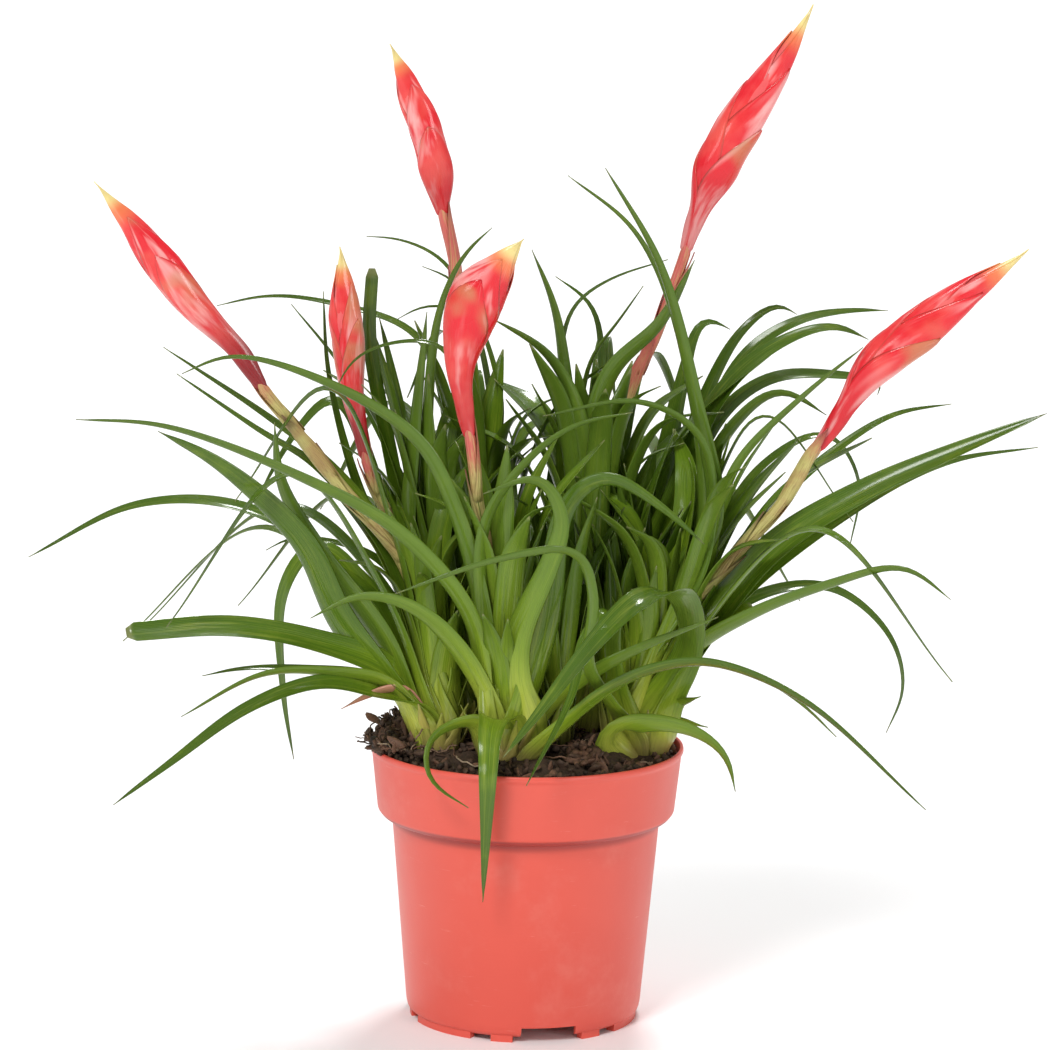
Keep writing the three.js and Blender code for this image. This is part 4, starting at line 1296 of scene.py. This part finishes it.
def head_half(shape, s):
    """Half the head's width at a share of its length. The shape is its width, the neck's width, the
    shares where the neck ends, where the head is broadest and where it narrows, and how full it is."""
    width, neck, neck_end, broad, narrowing, full = shape
    below = lerp(neck, width, smooth((s - neck_end) / (broad - neck_end)))
    above = width * (1 - (np.maximum(s - narrowing, 0) / (1 - narrowing)) ** full) + 0.5
    return np.minimum(below, above) * lerp(HEAD_FOOT / neck, 1, smooth(s / 0.18)) / 2


def make_head(name, rosette, material, seed):
    skin = Skin("rise", "tip", "across", "tone", "dark")
    rnd = np.random.default_rng(seed)
    dark = rosette["neck_dark"]
    shape, turn = rosette["head_shape"], math.radians(rosette["turn"])
    spine = evenly(curve_through([seen(*p) for p in rosette["head"]]), HEAD_ROWS)
    s = np.linspace(0, 1, len(spine))
    along = unit(np.gradient(spine, axis=0))
    side = unit(np.cross(along, (0, 1, 0)))
    face = np.cross(side, along)

    def round_about(centre, sides, faces, radius, angle):
        """Points about the head's middle line, on its flattened round."""
        across = (np.cos(angle) * radius)[..., None] * sides
        return centre + across + (HEAD_FLATNESS * np.sin(angle) * radius)[..., None] * faces

    angle = np.linspace(0, 2 * math.pi, HEAD_SIDES, endpoint=False)[None]
    core = np.maximum(head_half(shape, s) - 0.7, 0.2)[:, None]
    rings = round_about(spine[:, None], side[:, None], face[:, None], core, angle)
    skin.add(rings, rise=s[:, None], tip=0.3, across=0.0, tone=0.5, dark=dark)
    t = np.linspace(0, 1, HEAD_BRACT_ROWS)[:, None]
    v = np.linspace(-1, 1, HEAD_BRACT_COLUMNS)[None]
    theta = (math.radians(125) * (1 - t**2) ** 0.8 + 0.02) * v
    keel = np.exp(-((theta / 0.4) ** 2))
    broad = shape[3]
    for i in range(HEAD_BRACTS):
        share = i / (HEAD_BRACTS - 1)
        start = LAST_HEAD_BRACT * max(0.0, (i - 1) / (HEAD_BRACTS - 2))
        end = lerp(broad + 0.07, 1.0, share)
        sunk, stand_off = (-0.35 if i < 2 else -1.0), rnd.uniform(0.1, 0.6)
        at = lerp(start, end, t)
        centre, sides, faces = (
            np.stack([np.interp(at, s, line[:, k]) for k in range(3)], axis=-1)
            for line in (spine, side, face)
        )
        half = head_half(shape, at)
        angle = turn + math.pi * i + rnd.uniform(-0.2, 0.2) + theta
        wave = 0.35 * np.sin(11 * at + 2 * angle) + 0.2 * np.sin(19 * at - 3 * angle + 1)
        lift = sunk + (0.3 - sunk) * t**0.6 + stand_off * keel * t**4 - 0.25 * np.abs(v) ** 6 + wave
        lift = lift - 2.4 * (1 - smooth((at - start) * HEAD_ROOT))
        radius = half + lift * np.minimum(1, half / 3)
        outer = round_about(centre, sides, faces, radius, angle)
        inner = round_about(centre, sides, faces, np.maximum(radius - 0.4, radius * 0.3), angle)
        ring = np.concatenate([outer, inner[:, ::-1]], axis=1)
        across = np.concatenate([v, v[:, ::-1]], axis=1)
        skin.add(ring, rise=at, tip=t, across=across, tone=rnd.random(), dark=dark)
    skin.piece(f"head_{name}_fine", material, "bract", f"head_{name}")


# The plant in its pot

make_pot(pot_look())
make_soil(soil_look())
leaf_material, stalk_material, bract_material = leaf_look(), stalk_look(), bract_look()
for number, (place, rosette) in enumerate(ROSETTES.items()):
    make_leaves(place, rosette, leaf_material, 100 + number)
    make_stalk(place, rosette, stalk_material, 200 + number)
    make_head(place, rosette, bract_material, 300 + number)

# Stage


def make_floor():
    mesh = bpy.data.meshes.new("floor")
    r = FLOOR_REACH
    mesh.from_pydata([(-r, -r, 0), (r, -r, 0), (r, r, 0), (-r, r, 0)], [], [(0, 1, 2, 3)])
    look = Look("floor", Roughness=0.7, Specular_IOR_Level=0.2)
    mesh.materials.append(look.finish((0.95, 0.95, 0.95)))
    floor = link("floor", mesh)


def sun(name, azimuth, elevation, spread, power):
    """A broad soft light from an azimuth seen from the camera's side, with 0 behind the camera."""
    light = bpy.data.lights.new(name, "SUN")
    light.energy = power
    light.angle = math.radians(spread)
    made = link(name, light)
    made.rotation_euler = (math.radians(90 - elevation), 0, math.radians(azimuth))


def make_camera():
    camera = link("camera", bpy.data.cameras.new("camera"))
    camera.data.lens = LENS
    camera.data.sensor_width = SENSOR_WIDTH
    tilt = Matrix.Rotation(math.radians(90 - DEPRESSION), 4, "X")
    roll = Matrix.Rotation(math.radians(CAMERA_ROLL), 4, "Z")
    camera.matrix_world = Matrix.Translation(EYE * MM) @ tilt @ roll
    camera.data.clip_start, camera.data.clip_end = 0.1, 50
    bpy.context.scene.camera = camera


make_floor()
sun("key", -24, 46, 16, 1.5)
sun("low left", -36, 12, 16, 0.36)
sun("low right", 40, 14, 16, 0.55)
sun("top", 168, 64, 12, 1.9)
world = bpy.data.worlds.new("studio")
world.use_nodes = True
background = world.node_tree.nodes["Background"].inputs
background["Color"].default_value = (1, 1, 1, 1)
background["Strength"].default_value = 0.41
bpy.context.scene.world = world
bpy.context.scene.view_settings.view_transform = "Standard"
make_camera()
